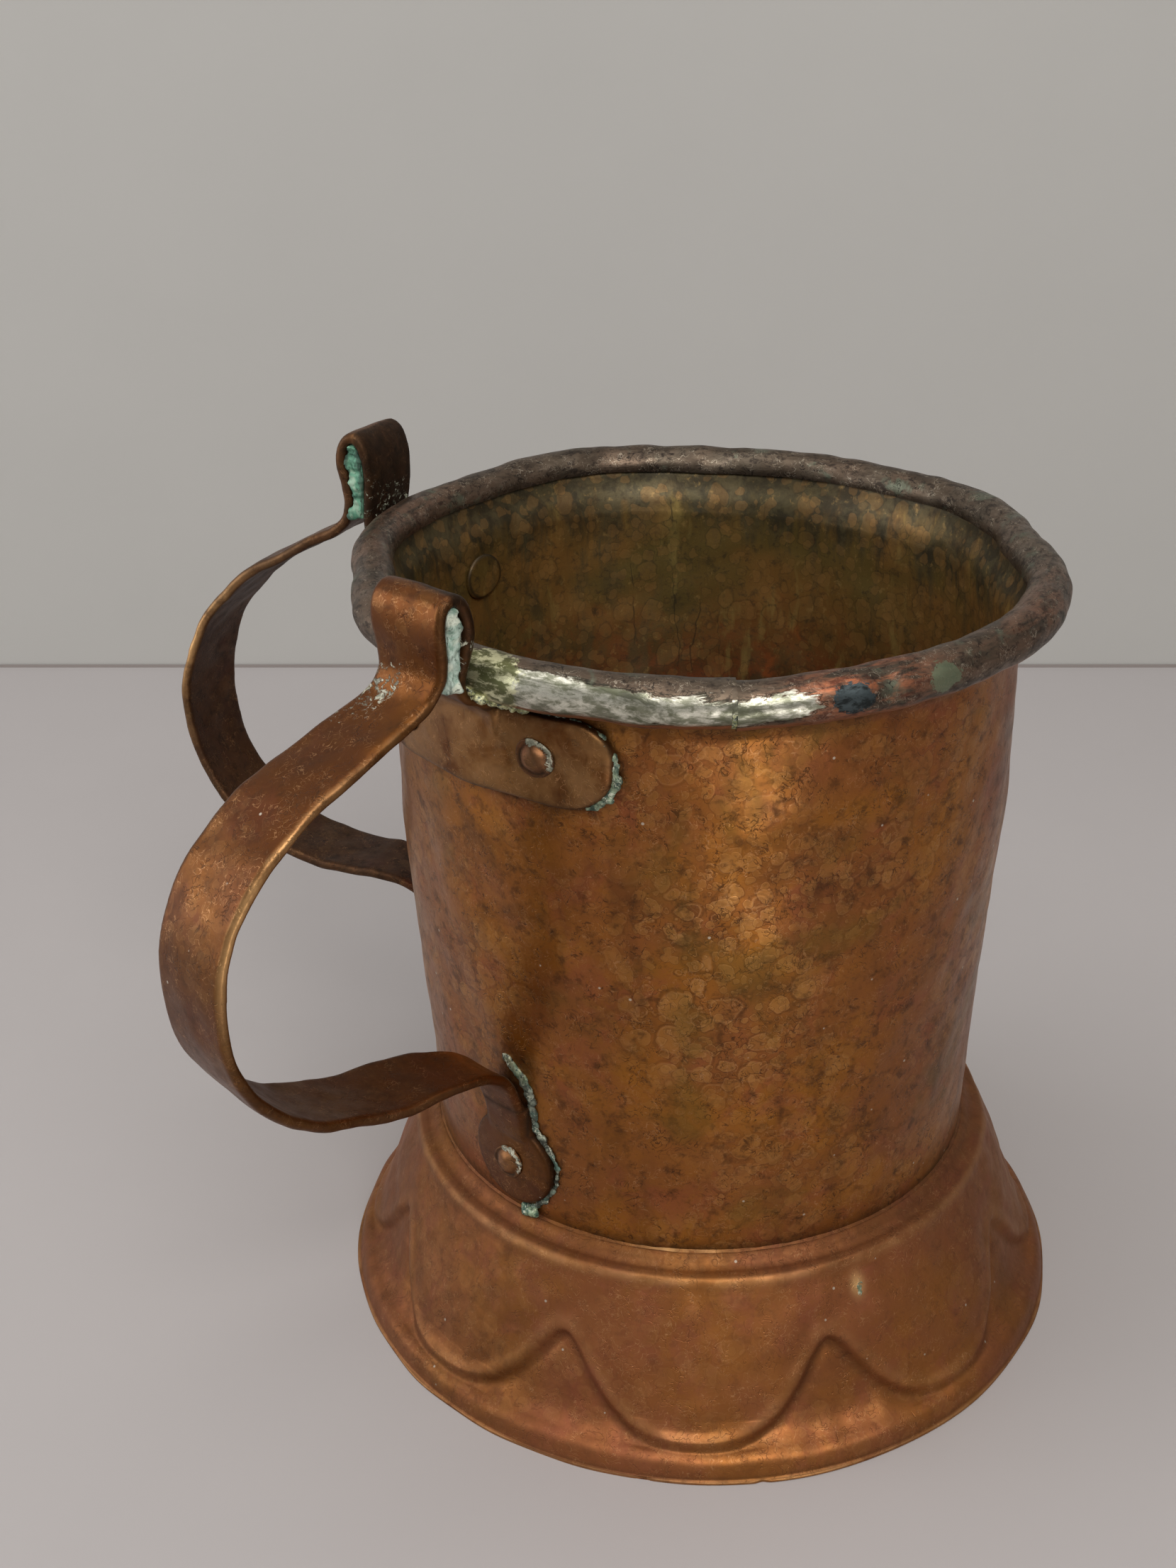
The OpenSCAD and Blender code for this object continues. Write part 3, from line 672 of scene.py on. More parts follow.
def rim_material():
    """Copper with worn, streaky tin. Mask red is bright tin, with a painted highlight where it
    lies on the front; green is bare red copper, blue is the untinned lower strip."""
    s = Shade("rim_tin")
    ring = s.around(62.2, 217)
    long = s.stretch(ring, (0.30, 1.0, 1.0))
    big = s.noise(14, 3, 0.6, 0.5, w=1.1)
    mid = s.noise(3.6, 4, 0.68, 0.8, v=long, w=3.1)
    fine = s.noise(1.1, 4, 0.68, 0.4, v=s.stretch(ring, (0.55, 1.0, 1.0)), w=5.1)
    c = s.mix(s.step(big, 0.36, 0.64), srgb(86, 76, 64), srgb(98, 82, 68))
    c = s.over(c, srgb(68, 57, 47), mid, 0.46, 0.60, 0.75)
    c = s.over(c, srgb(124, 110, 96), mid, 0.44, 0.32, 0.5)
    c = s.over(c, srgb(40, 33, 29), fine, 0.50, 0.64, 0.75)
    c = s.over(c, srgb(98, 104, 88), s.noise(6, 4, 0.6, 0.4, w=9.1), 0.57, 0.68, 0.7)
    c = s.mix(s.times(s.lines(1.6, 3.3, 0.022), 0.55), c, srgb(166, 154, 136))
    c = s.mix(s.times(s.lines(2.3, 5.3, 0.020), 0.8), c, srgb(30, 25, 22))
    bare = s.math("MAXIMUM", s.mask(1), s.times(s.blob(rim_point(22, 151), 17), 0.55))
    bare = s.times(bare, s.step(mid, 0.60, 0.42))
    c = s.mix(bare, c, s.mix(s.step(fine, 0.4, 0.6), srgb(178, 104, 68), srgb(120, 66, 46)))
    tin_edge = s.plus(s.mask(0), s.swing(s.noise(2.6, 5, 0.72, 0.9, v=long, w=7.7), 1.5))
    tin_and_highlight = s.step(tin_edge, 0.44, 0.56)
    # the bright tin colours, which also paint the highlight on the front
    shine = s.mix(s.step(fine, 0.38, 0.60), srgb(206, 203, 188), srgb(126, 126, 108))
    shine = s.over(shine, srgb(88, 90, 70), mid, 0.46, 0.60, 0.85)
    c = s.mix(tin_and_highlight, c, shine)
    brim = s.step(s.math("ABSOLUTE", s.minus(tin_edge, 0.43)), 0.045, 0.01)
    c = s.mix(s.times(brim, s.times(s.step(s.mask(0), 0.1, 0.4), 0.8)), c, srgb(40, 38, 30))
    strip = s.times(s.mask(2), s.step(s.noise(3.0, 4, 0.7, 0.6, v=long, w=13.0), 0.68, 0.50))
    c = s.mix(strip, c, s.mix(mid, srgb(168, 116, 80), srgb(120, 74, 50)))
    # yellow-green flux by the thumb loop, a slate patch and a green one
    flux = s.plus(s.blob(rim_point(-30, 149), 9.5),
                  s.swing(s.noise(1.5, 4, 0.75, 1.2, w=21.0), 1.6))
    c = s.over(c, s.mix(s.step(fine, 0.42, 0.56), srgb(206, 204, 164), srgb(96, 98, 62)), flux,
               0.42, 0.58, 0.85)
    slate = s.plus(s.blob(rim_point(20.2, 148.5), 5.2, (1, 1, 1.3)),
                   s.swing(s.noise(2.2, 4, 0.75, 1.0, w=31.0), 2.0))
    c = s.mix(s.step(slate, 0.45, 0.6), c,
              s.mix(s.step(fine, 0.45, 0.6), srgb(64, 72, 74), srgb(34, 38, 38)))
    moss = s.plus(s.blob(rim_point(34.3, 149), 4.8, (1, 1, 1.3)),
                  s.swing(s.noise(2.0, 4, 0.75, 1.0, w=41.0), 2.2))
    c = s.over(c, srgb(112, 122, 98), moss, 0.48, 0.62, 0.8)
    rough = s.minus(s.ramp(fine, (0.3, 0.36), (0.7, 0.58)), s.times(tin_and_highlight, 0.12))
    n = s.bump(mid, 0.55, 0.16)
    n = s.bump(fine, 0.5, 0.09, n)
    n = s.bump(tin_and_highlight, 0.4, 0.08, n)
    return s.finish(c, rough, 0.86, n)


INSIDE = interior_material()
RIM = rim_material()


def keep(obj, slot, *nodes):
    """Hangs a finished piece under the one body and hides the CAD nodes it stands for."""
    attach(obj, "root")
    if nodes:
        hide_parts(*nodes)
    return obj


# ---------------------------------------------------------------- body

# Azimuths of the handles' parts, in degrees, as the CAD places them.
FRONT_PLANE, FRONT_PLATE, FRONT_TAIL = 212.0, 215.0, 216.5
REAR_PLANE, REAR_PLATE = 144.5, 141.2
PLATE_Z, PLATE_H, PLATE_HALF = 134.6, 15.6, 27.5
TAIL_Z, TAIL_R = 48.6, 9.3
NECK_HALF, NECK_TOP = 5.0, 62.0
LOW_R = 54.0  # the wall's radius beside the lower lobe
RIVET_OFF = 14.6


def plate_distance(p, azimuth):
    """Signed distance in mm from the upper plate's outline, along the wall."""
    s = np.radians(turn_of(p, azimuth)) * MOUTH_R
    half = PLATE_HALF - PLATE_H / 2
    return np.hypot(np.maximum(np.abs(s) - half, 0), p[:, 2] - PLATE_Z) - PLATE_H / 2


def tail_distance(p, azimuth):
    """The same from the outline of the lower lobe and its neck."""
    s = np.radians(turn_of(p, azimuth)) * LOW_R
    lobe = np.hypot(s, p[:, 2] - TAIL_Z) - TAIL_R
    neck = np.maximum(np.abs(s) - NECK_HALF, np.maximum(TAIL_Z - p[:, 2], p[:, 2] - NECK_TOP))
    return np.minimum(lobe, neck)


def make_body():
    zs = np.linspace(WALL_FOOT, WALL_TOP, 130)
    outer = np.stack([body_r(zs), zs], -1)
    lip = catmull([(MOUTH_R, WALL_TOP), (58.9, 144.6), (59.9, 146.9), (60.3, 149.0)], 5)[1:]
    top = np.array([(59.4, 149.1)])
    back = catmull([(59.2, 148.6), (58.6, 146.4), (57.5, 143.6), (57.0, 141.0)], 5)
    inner = np.stack([body_r(zs[::-1]) - SHEET, zs[::-1]], -1)[2:]
    profile = np.concatenate([outer, lip, top, back, inner])
    nu, nv = 540, len(profile)
    p = lathe_points(profile, nu).reshape(-1, 3)
    inside = np.tile(np.arange(nv) >= len(outer) + len(lip) - 3, nu)
    q = warp(p)
    faces = grid_faces(nu, nv, True, True)
    obj = new_mesh_object("cup_wall", q, faces, (BODY, INSIDE), sharp=70)
    flag = inside[faces].all(1)
    obj.data.polygons.foreach_set("material_index", flag.astype(np.int32))
    d = np.minimum(plate_distance(p, FRONT_PLATE), plate_distance(p, REAR_PLATE))
    t = np.minimum(tail_distance(p, FRONT_TAIL), tail_distance(p, REAR_PLANE))
    near = np.exp(-np.clip(np.minimum(d, t), 0, 50) / 0.9)
    rimdark = smooth01((p[:, 2] - 141) / 5) * 0.8
    # painted shade in the crease at the foot of the wall
    crease_shade = smooth01((39.5 - p[:, 2]) / 3.5) * 0.8
    # darker: dirty joints by the plates' outlines, just below the rim, and the painted crease shade
    grime_and_shade = np.maximum.reduce([near * 0.9, rimdark, crease_shade]) * ~inside
    # inside, the corner with the floor is dark
    grime_and_shade = grime_and_shade + smooth01((46 - p[:, 2]) / 8) * 0.7 * inside
    wall_th = turn_of(p)
    flecks = (0.42 * np.exp(-np.clip(np.minimum(t, d), 0, 50)) * (wall_th > -36)
              + 0.22 * lump(p[:, 2], 100, 5) * bump(wall_th, -44, 2.5)
              + 0.2 * lump(p[:, 2], 54.8, 1.5) * bump(wall_th, -7, 1.6))
    paint(obj, 0.0, grime_and_shade, flecks * ~inside)
    return keep(obj, "copper_body", "body_wall")


def make_floor():
    r = WAIST_R - SHEET - 0.1
    profile = dense([(0.4, 36.6), (r - 1, 36.6), (r, 37.6), (r, 40.0), (r - 1.1, 40.0),
                     (r - 1.3, 38.4), (r - 2.0, 37.8), (0.4, 37.8)], 1.2)
    p = lathe_points(profile, 220).reshape(-1, 3)
    p[:, 2] += 0.12 * waves(p, 18, 21) * smooth01((48 - np.hypot(p[:, 0], p[:, 1])) / 8)
    obj = new_mesh_object("cup_floor", p, grid_faces(220, len(profile), True, True), (INSIDE,),
                          sharp=50)
    paint(obj, 0.0, smooth01((np.hypot(p[:, 0], p[:, 1]) - 42) / 9) * 0.6, 0.0)
    return keep(obj, "copper_body", "body_floor")


def make_ring(name, profile, count, slot, material, node, wobble=0.12, seed=1, masks=None):
    """A ring of solder of uneven section."""
    p = lathe_points(dense(profile, 0.35, True), count)
    mid = p.mean(1, keepdims=True)
    flat = p.reshape(-1, 3)
    swell = (1 + wobble * waves(mid.reshape(-1, 3), 7, seed)[:, None, None]
             + 0.1 * waves(flat, 2.5, seed + 1).reshape(count, -1, 1))
    p = mid + (p - mid) * swell
    obj = new_mesh_object(name, p.reshape(-1, 3), grid_faces(count, p.shape[1], True, True),
                          (material,), sharp=80)
    paint(obj, 0.0, 0.0, masks or 0.0)
    return keep(obj, slot, node)


make_body()
make_floor()
make_ring("floor_fillet", [(50.9, 39.9), (51.9, 39.9), (52.05, 41.2)], 260, "solder", SOLDER,
          "floor_solder", 0.15, 5)
fillet = make_ring("foot_fillet", [(53.25, 36.4), (53.75, 36.5), (53.25, 37.0)], 420, "solder",
                   FOOT, "foot_solder", 0.12, 9)
# a painted highlight along the front of the crease; the rest painted half dark as shade in the
# crease
paint(fillet, 0.9 * bump(turn_of(points_of(fillet)), -3, 4.5), 0.5, 0.0)


# ---------------------------------------------------------------- rim

RIM_R, RIM_Z, BEAD = 62.2, 150.0, 3.9
HOLLOW = 3.0  # radius of the space inside the roll
SPLIT_TH = 4.4


def make_rim():
    angles = np.radians(np.linspace(-128, 190, 74))
    inner = angles[::-1][::2]
    outer_p = np.stack([RIM_R + BEAD * np.cos(angles), RIM_Z + BEAD * np.sin(angles)], -1)
    inner_p = np.stack([RIM_R + HOLLOW * np.cos(inner), RIM_Z + HOLLOW * np.sin(inner)], -1)
    profile = np.concatenate([outer_p, inner_p])
    half_gap = 0.35
    nu = 720
    start = FRONT + SPLIT_TH + half_gap
    p = lathe_points(profile, nu, start, 360 - 2 * half_gap)
    sec = np.degrees(np.concatenate([angles, inner]))
    flat = p.reshape(-1, 3)
    centre = np.array([RIM_R, RIM_Z])
    a = np.arctan2(flat[:, 1], flat[:, 0])
    # the bead's own section swells and shrinks a little
    rr = np.hypot(flat[:, 0], flat[:, 1]) - centre[0]
    zz = flat[:, 2] - centre[1]
    ring = np.stack([RIM_R * np.cos(a), RIM_R * np.sin(a), 0 * a], -1)
    k = 1 + 0.022 * waves(ring, 16, 31) + 0.014 * waves(flat, 6, 32)
    # the right-hand end of the band stands a little lower and prouder than the other end
    th = turn_of(flat)
    right_end = np.exp(-np.clip(th - SPLIT_TH, 0, 400) / 9) * (th > SPLIT_TH)
    zz = zz * k - 0.45 * right_end
    rr = rr * k + 0.2 * right_end
    r = centre[0] + rr
    flat = np.stack([r * np.cos(a), r * np.sin(a), centre[1] + zz], -1)
    q = warp(flat)
    nv = len(profile)
    faces = list(grid_faces(nu, nv, False, True))
    obj = new_mesh_object("rim_roll", q, faces, (RIM,), sharp=55)
    caps = bmesh.new()
    caps.from_mesh(obj.data)
    caps.verts.ensure_lookup_table()
    no = len(angles)
    ni = len(inner)
    for row in (0, nu - 1):
        loop = [caps.verts[row * nv + i] for i in range(nv)]
        for i in range(ni - 1):
            i0, i1 = 2 * i, min(2 * i + 2, no - 1)
            j0, j1 = nv - 1 - i, nv - 2 - i
            ring_pts = [loop[j] for j in range(i0, i1 + 1)] + [loop[j1], loop[j0]]
            try:
                caps.faces.new(ring_pts)
            except ValueError:
                pass
    bmesh.ops.recalc_face_normals(caps, faces=caps.faces)
    caps.to_mesh(obj.data)
    caps.free()
    obj.data.shade_smooth()
    obj.data.set_sharp_from_angle(angle=math.radians(55))
    s = np.tile(sec, nu)
    # bright tin lies on the front, on the upper outer face, where it is also a painted highlight
    tin_and_highlight = (0.95 * bump(th, -8, 15) * lump(s, 0, 34) + 0.6 * bump(th, -24, 7) * lump(s, 20, 40)
           + 0.4 * bump(th, 12, 4) * lump(s, 15, 30) + 0.10 * lump(s, 150, 30) * bump(th, 180, 60))
    bare = (0.95 * bump(th, 22, 6.5) * lump(s, 35, 34) + 0.25 * bump(th, 60, 12) * lump(s, 60, 50)
            + 0.15 * bump(th, -100, 20))
    strip = smooth01((-34 - s) / 10) * (0.35 + 0.65 * bump(th, 0, 34))
    paint(obj, tin_and_highlight, bare, strip)
    return keep(obj, "tinned_rim", "rim_band")


def make_wire():
    t = np.radians(np.linspace(0, 360, 25)[:-1])
    profile = np.stack([RIM_R + 0.45 + 2.3 * np.cos(t), RIM_Z + 0.2 + 2.3 * np.sin(t)], -1)
    q = warp(lathe_points(profile, 300).reshape(-1, 3))
    obj = new_mesh_object("rim_core", q, grid_faces(300, 24, True, True), (SOLDER,), sharp=80)
    paint(obj)
    return keep(obj, "rim_core", "rim_wire")


def make_split():
    t = np.radians(np.linspace(-122, 100, 60))
    out = np.stack([RIM_R + 3.85 * np.cos(t), RIM_Z + 3.85 * np.sin(t)], -1)
    inn = np.stack([RIM_R + 3.05 * np.cos(t[::-1]), RIM_Z + 3.05 * np.sin(t[::-1])], -1)
    profile = np.concatenate([out, inn])
    p = lathe_points(profile, 7, FRONT + SPLIT_TH - 0.36, 0.72)
    flat = p.reshape(-1, 3)
    a = math.radians(FRONT)
    flat = flat + 0.05 * waves(flat, 1.2, 41)[:, None] * np.array([np.cos(a), np.sin(a), 0])
    faces = [tuple(f) for f in grid_faces(7, len(profile), False, True)]
    nv = len(profile)
    n = len(t)
    for row in (0, 6):
        for i in range(n - 1):
            faces.append((row * nv + i, row * nv + i + 1, row * nv + nv - 2 - i,
                          row * nv + nv - 1 - i))
    obj = new_mesh_object("rim_joint", warp(flat), faces, (RIM, SOLDER), sharp=80)
    mid_z = np.array([flat[list(f), 2].mean() for f in faces])
    obj.data.polygons.foreach_set("material_index", (mid_z < 149.6).astype(np.int32))
    paint(obj, 0.8 * (flat[:, 2] < 152), 0.0, 0.0)
    return keep(obj, "solder", "rim_split_solder")


make_rim()
make_wire()
make_split()


# ---------------------------------------------------------------- foot

LOBE_STEP = 1.2  # how far the lobes stand out of the field
SHOULDER_R, SHOULDER_Z = 58.2, 33.8
CONE_SLOPE = 0.37  # how much wider the foot gets for each mm down
CONE = np.array([0.938, 0.347])  # the cone's normal, as (outwards, up)


def lobe_edge(th):
    """Where a lobe's edge is, in mm up the foot's side from the lower fold."""
    u = np.abs((th / 45.0 + 0.5) % 1.0 - 0.5) * 2
    return 0.6 + 22.9 * (u ** 2.55 - 0.204 * np.exp(-(1 - u) / 0.08))


def lobe_height(th, s, z):
    """How far the hammered lobes stand out of the field, and the distance to their edge."""
    slope = (lobe_edge(th + 0.5) - lobe_edge(th - 0.5)) / 1.12
    d = (s - lobe_edge(th)) / np.sqrt(1 + np.minimum(slope ** 2, 4))
    high = LOBE_STEP * smooth01((d + 0.8) / 2.2)
    high = high + 0.20 * lump(d, 1.9, 1.0) - 0.16 * lump(d, -1.3, 0.8)
    pillow = 0.35 * smooth01(d / 9) * smooth01((33 - z) / 10)
    return high + pillow, d


def make_foot():
    raised = lambda z: SHOULDER_R + (SHOULDER_Z - z) * CONE_SLOPE
    ledge = catmull([(53.28, 36.7), (53.9, 36.5), (54.6, 36.0), (55.3, 35.25), (56.1, 34.75),
                     (57.0, 34.5), (57.9, 34.1), (58.5, 33.2), (58.83, 32.1), (59.1, 31.3)], 6)
    t = np.arange(31.0, 9.0, -0.4)
    sunk = LOBE_STEP * (1 - smooth01((t - 19) / 6))
    cone = np.stack([raised(t) - sunk * CONE[0], t - sunk * CONE[1]], -1)
    low = catmull([tuple(cone[-1]), (66.95, 7.4), (67.6, 6.5), (68.4, 5.7), (69.3, 5.05),
                   (70.2, 4.6), (71.0, 4.1), (71.6, 3.4), (72.05, 2.4), (72.35, 1.4),
                   (72.5, 0.85), (72.75, 0.62), (73.05, 0.5), (73.2, 0.25), (73.1, 0.02)], 6)[1:]
    under = catmull([(72.6, 0.0), (71.8, 0.3), (71.2, 1.4), (70.4, 2.8), (69.4, 3.5), (68.0, 4.3),
                     (66.4, 5.8)], 4)
    back = dense([(66.4, 5.8), (raised(20) - 2.7, 20), (56.0, 32.4), (55.2, 33.4), (53.3, 34.5)],
                 1.1)[1:]
    profile = np.concatenate([ledge, cone, low, under, back])
    outer_n = len(ledge) + len(cone) + len(low)
    nu, nv = 960, len(profile)
    tangent = np.gradient(profile, axis=0)
    tangent /= np.linalg.norm(tangent, axis=1)[:, None] + 1e-9
    normal = np.stack([-tangent[:, 1], tangent[:, 0]], -1)
    seg = np.concatenate([[0], np.cumsum(np.linalg.norm(np.diff(profile, axis=0), axis=1))])
    fold = len(ledge) + len(cone) + 5 * 6
    up = seg[fold] - seg
    p = lathe_points(profile, nu).reshape(-1, 3)
    th, z = turn_of(p), p[:, 2]
    s = np.tile(up, nu)
    nrm = np.tile(normal, (nu, 1))
    is_outer = np.tile(np.arange(nv) < outer_n, nu)
    high, d = lobe_height(th, s, z)
    full = LOBE_STEP * smooth01((z - 19) / 6)
    lift = (high - full) * smooth01((s + 0.2) / 1.2) * smooth01((34.5 - z) / 2)
    lift = np.where(is_outer, lift, -0.8 * high * smooth01((z - 6) / 4) * smooth01((31 - z) / 4))
    hammer = (0.11 * waves(p, 16, 51) + 0.06 * waves(p, 7, 52)
              + 0.18 * waves(p * (1, 1, 0.2), 60, 53, 5))
    lift = lift + hammer * smooth01((z - 1.0) / 4) * smooth01((36.2 - z) / 4)
    r = np.hypot(p[:, 0], p[:, 1])
    new_r = r + lift * nrm[:, 0]
    new_z = z + lift * nrm[:, 1]
    # the thin lip is uneven and has two nicks, but is never wider than the CAD
    lip = np.clip(r - 72.6, 0, 0.6) / 0.6
    new_r -= lip * (0.22 + 0.16 * waves(p * (1, 1, 0), 22, 54) + 0.5 * bump(th, -7.5, 0.5)
                    + 0.4 * bump(th, 9.5, 0.5))
    new_r = np.minimum(new_r, 73.2)
    q = p.copy()
    q[:, 0] *= new_r / r
    q[:, 1] *= new_r / r
    q[:, 2] = np.maximum(new_z, 0.0)
    obj = new_mesh_object("foot", q, grid_faces(nu, nv, True, True), (FOOT,), sharp=75)
    side = smooth01((s + 0.4) / 1.4) * smooth01((31 - z) / 4)
    # painted shadow lines along the foot of each lobe's raised edge
    lobe_shadow_line = 0.34 * lump(d, -0.7, 0.8) * side
    # painted shade along the bottom of the thin lip
    shade_under_lip = 0.35 * lump(z, 0.8, 0.5) * smooth01((r - 72) / 0.4)
    # painted shade in the crease by the wall and across the ledge inside the shoulder
    crease_shade = (0.55 * smooth01((53.9 - r) / 0.5) * smooth01(z - 35)
              + 0.42 * smooth01((58.6 - r) / 1.2) * smooth01(z - 33))
    # painted shade on the left and right sides of the foot
    shade = (0.42 * smooth01((-14 - th) / 24) * smooth01((th + 100) / 20)
             + 0.24 * smooth01((th - 42) / 20) * smooth01((110 - th) / 20))
    # lighter: the outer lip, the lobes' raised edges, a painted highlight on the shoulder, and a
    # worn spot by the nick
    wear_and_highlight = (0.35 * lump(r, 73.0, 0.25) + 0.10 * lump(d, 2.2, 0.9) * side
            + 0.22 * lump(r, 58.3, 0.5) * lump(z, 33.6, 0.8)
            + 0.9 * bump(th, 29.2, 0.9) * lump(z, 29, 1.4))
    nick = 0.75 * bump(th, 29.6, 0.7) * lump(z, 28.3, 1.6)
    dark = np.maximum.reduce([lobe_shadow_line, shade_under_lip, crease_shade, shade])
    # the inner face of the skirt is painted half dark
    paint(obj, wear_and_highlight * is_outer, dark * is_outer + 0.5 * ~is_outer, nick)
    return keep(obj, "copper_foot", "foot_skirt")


make_foot()


# ---------------------------------------------------------------- handles

# The middle of the strip as (distance from the axis, height): up from the riveted plate,
# round the rim, over the thumb loop, down, round the finger gap and back to the wall.
ROUTE = [
    (58.9, 137.4), (59.3, 140), (60.2, 141.9), (62.8, 144.0), (66.3, 146.0), (67.9, 149.8),
    (67.2, 154.5), (67.0, 158.5), (68.0, 161.8), (69.9, 163), (71.8, 161.6), (72.5, 158.2),
    (71.8, 153.5), (71.9, 149.6), (74.6, 145.6), (83.5, 141), (96.4, 134.4), (107.4, 123.6),
    (112.4, 109), (109.8, 93.2), (99.6, 80.8), (84.6, 74), (69.6, 71.4), (60.6, 67.8),
    (56.5, 62), (54.9, 55)]
LOOP_TOP = 9  # the loop's highest point in ROUTE
STRAP_T = 2.05
PATH_STEP = 0.7


def handle_route(lift, leg):
    """The route with the thumb loop raised by lift and the lower leg by leg."""
    pts = []
    for i, (r, z) in enumerate(ROUTE):
        share = max(0.0, z - 150) / 13 if i <= LOOP_TOP else min(1.0, max(0.0, z - 112) / 38)
        low = float(np.interp(r, [55, 57, 61, 70, 85, 100],
                              [0, 0.6, 1.0, 0.95, 0.4, 0])) if i > 18 else 0.0
        pts.append((r, z + lift * share + leg * low))
    return np.array(pts)


# How far an askew handle's middle is off its plane: at a height for the thumb loop, and at a
# distance from the axis for the lower leg
LOOP_ASKEW = [(120, 0), (135, 2.0), (143, 4.2), (150, 6.2), (157, 6.7)]
TAIL_ASKEW = [(55, 4.2), (60, 4.1), (66, 3.6), (75, 2.0), (90, 0)]
# Half width of the strip: at a height, and along the lower leg at a distance from the axis
HALF = [(88, 8.3), (110, 8.7), (130, 8.8), (138, 8.4), (143, 7.6), (147, 6.9), (150, 7.0),
        (157, 7.7), (172, 7.7)]
LEG_HALF = [(55, 5.0), (57, 5.0), (60, 5.4), (64, 6.2), (70, 7.4), (80, 8.1), (100, 8.3),
            (107, 8.4)]


def make_handle(name, plane, plate_at, tail_at, lift, leg, skew, roll, seed, node, material):
    control = handle_route(lift, leg)
    path = even(catmull(control, 10), PATH_STEP)
    n = len(path)
    tan = np.gradient(path, axis=0)
    tan /= np.linalg.norm(tan, axis=1)[:, None]
    nor = np.stack([-tan[:, 1], tan[:, 0]], -1)
    s = np.arange(n) * PATH_STEP
    top = np.argmax(path[:, 1])
    leg_part = (path[:, 1] < 88) & (np.arange(n) > top)
    half = np.where(leg_part, np.interp(path[:, 0], *np.array(LEG_HALF).T),
                    np.interp(path[:, 1], *np.array(HALF).T))
    half = half + 0.12 * np.sin(s / 9 + seed) + 0.08 * np.sin(s / 3.7 + 2 * seed)
    off = np.where(leg_part, skew[1] * np.interp(path[:, 0], *np.array(TAIL_ASKEW).T),
                   skew[0] * np.interp(path[:, 1], *np.array(LOOP_ASKEW).T))
    # across the strip: a fine row of points on each face and a round on each edge
    m = 25
    across = np.linspace(-1, 1, m)
    r_edge = STRAP_T / 2
    rows = []
    arc = np.radians(np.linspace(90, -90, 9)[1:-1])
    for i in range(n):
        w = half[i] - r_edge
        face = np.stack([across * w, np.full(m, r_edge)], -1)
        right = np.stack([w + r_edge * np.cos(arc), r_edge * np.sin(arc)], -1)
        lower = np.stack([-across * w, np.full(m, -r_edge)], -1)
        left = np.stack([-w - r_edge * np.cos(arc), -r_edge * np.sin(arc)], -1)
        rows.append(np.concatenate([face, right, lower, left]))
    sec = np.array(rows)
    nv = sec.shape[1]
    # the strip is slightly cupped, and its faces are hammered
    cup = 0.18 * (1 - (sec[..., 0] / half[:, None]) ** 2)
    low = path[:, 1] < 88
    reach = np.exp(-0.5 * ((path[:, 0] - 73) / 9) ** 2) * low
    turn_ = np.radians(roll) * reach[:, None]
    across_, through = turned(sec[..., 0], sec[..., 1] + cup, turn_)
    p = np.stack([path[:, 0:1] + nor[:, 0:1] * through, across_,
                  path[:, 1:2] + nor[:, 1:2] * through], -1)
    # each cross section is swung round the vessel to follow the askew strap
    swing = off / np.maximum(path[:, 0], 54)
    x, y = turned(p[..., 0], p[..., 1], swing[:, None])
    p = np.stack([x, y, p[..., 2]], -1).reshape(-1, 3)
    d = 0.09 * waves(p, 11, seed) + 0.05 * waves(p, 5, seed + 1)
    nn = np.repeat(np.stack([nor[:, 0], 0 * nor[:, 0], nor[:, 1]], -1), nv, 0)
    p = p + nn * d[:, None]
    p = spin(p, plane)
    faces = tube_faces(n, nv)
    verts = [p]
    count = len(p)

    # the riveted plate and the lower lobe follow the wall
    def shell(outline, centre, azimuth, t_shell, bulge):
        nonlocal count
        rings = [(0.12, -0.02), (0.35, -0.02), (0.6, -0.02), (0.85, -0.02), (1.0, 0.0), (1.0, 0.55),
                 (0.985, 0.85), (0.95, 1.0), (0.85, 1.02), (0.6, 1.03), (0.35, 1.04), (0.12, 1.04)]
        loops = []
        for k, h in rings:
            q = centre + (outline - centre) * k
            loops.append(on_wall(q[:, 0], q[:, 1],
                                 0.06 + h * t_shell + bulge * (1 - k) * (h > 0.5)))
        pts = np.concatenate(loops)
        pts = spin(pts, azimuth)
        m_ = len(outline)
        f = []
        for a_ in range(len(rings) - 1):
            for b_ in range(m_):
                f.append((a_ * m_ + b_, a_ * m_ + (b_ + 1) % m_, (a_ + 1) * m_ + (b_ + 1) % m_,
                          (a_ + 1) * m_ + b_))
        f.append(tuple((len(rings) - 1) * m_ + b_ for b_ in range(m_)))
        f.append(tuple(range(m_))[::-1])
        faces.extend(tuple(i + count for i in g) for g in f)
        verts.append(pts)
        count += len(pts)

    ang = np.radians(np.linspace(-90, 90, 40))
    e = PLATE_HALF - PLATE_H / 2
    right = np.stack([e + PLATE_H / 2 * np.cos(ang), PLATE_Z + PLATE_H / 2 * np.sin(ang)], -1)
    left = np.stack([-e - PLATE_H / 2 * np.cos(ang), PLATE_Z - PLATE_H / 2 * np.sin(ang)], -1)
    outline = dense(list(right) + list(left), 0.7, True)
    outline = outline + np.stack([0.2 * np.sin(outline[:, 1] * 0.8 + seed),
                                  0.22 * np.sin(outline[:, 0] * 0.35 + seed)], -1)
    shell(outline, np.array([0.0, PLATE_Z]), plate_at, 1.9, 0.1)
    ang = np.radians(np.linspace(-233, 53, 60))
    lobe = np.stack([TAIL_R * 1.07 * np.cos(ang), TAIL_Z + TAIL_R * np.sin(ang)], -1)
    neck = [(5.6, 58.0), (5.4, 62.0), (-5.4, 62.0), (-5.6, 58.0)]
    outline = dense([tuple(v) for v in lobe] + neck, 0.6, True)
    shell(outline, np.array([0.0, TAIL_Z + 1]), tail_at, 1.9, 0.05)

    obj = new_mesh_object(name, np.concatenate(verts), faces, (material,), sharp=180)
    voxel_union(obj, 0.34, 5)
    q = points_of(obj)
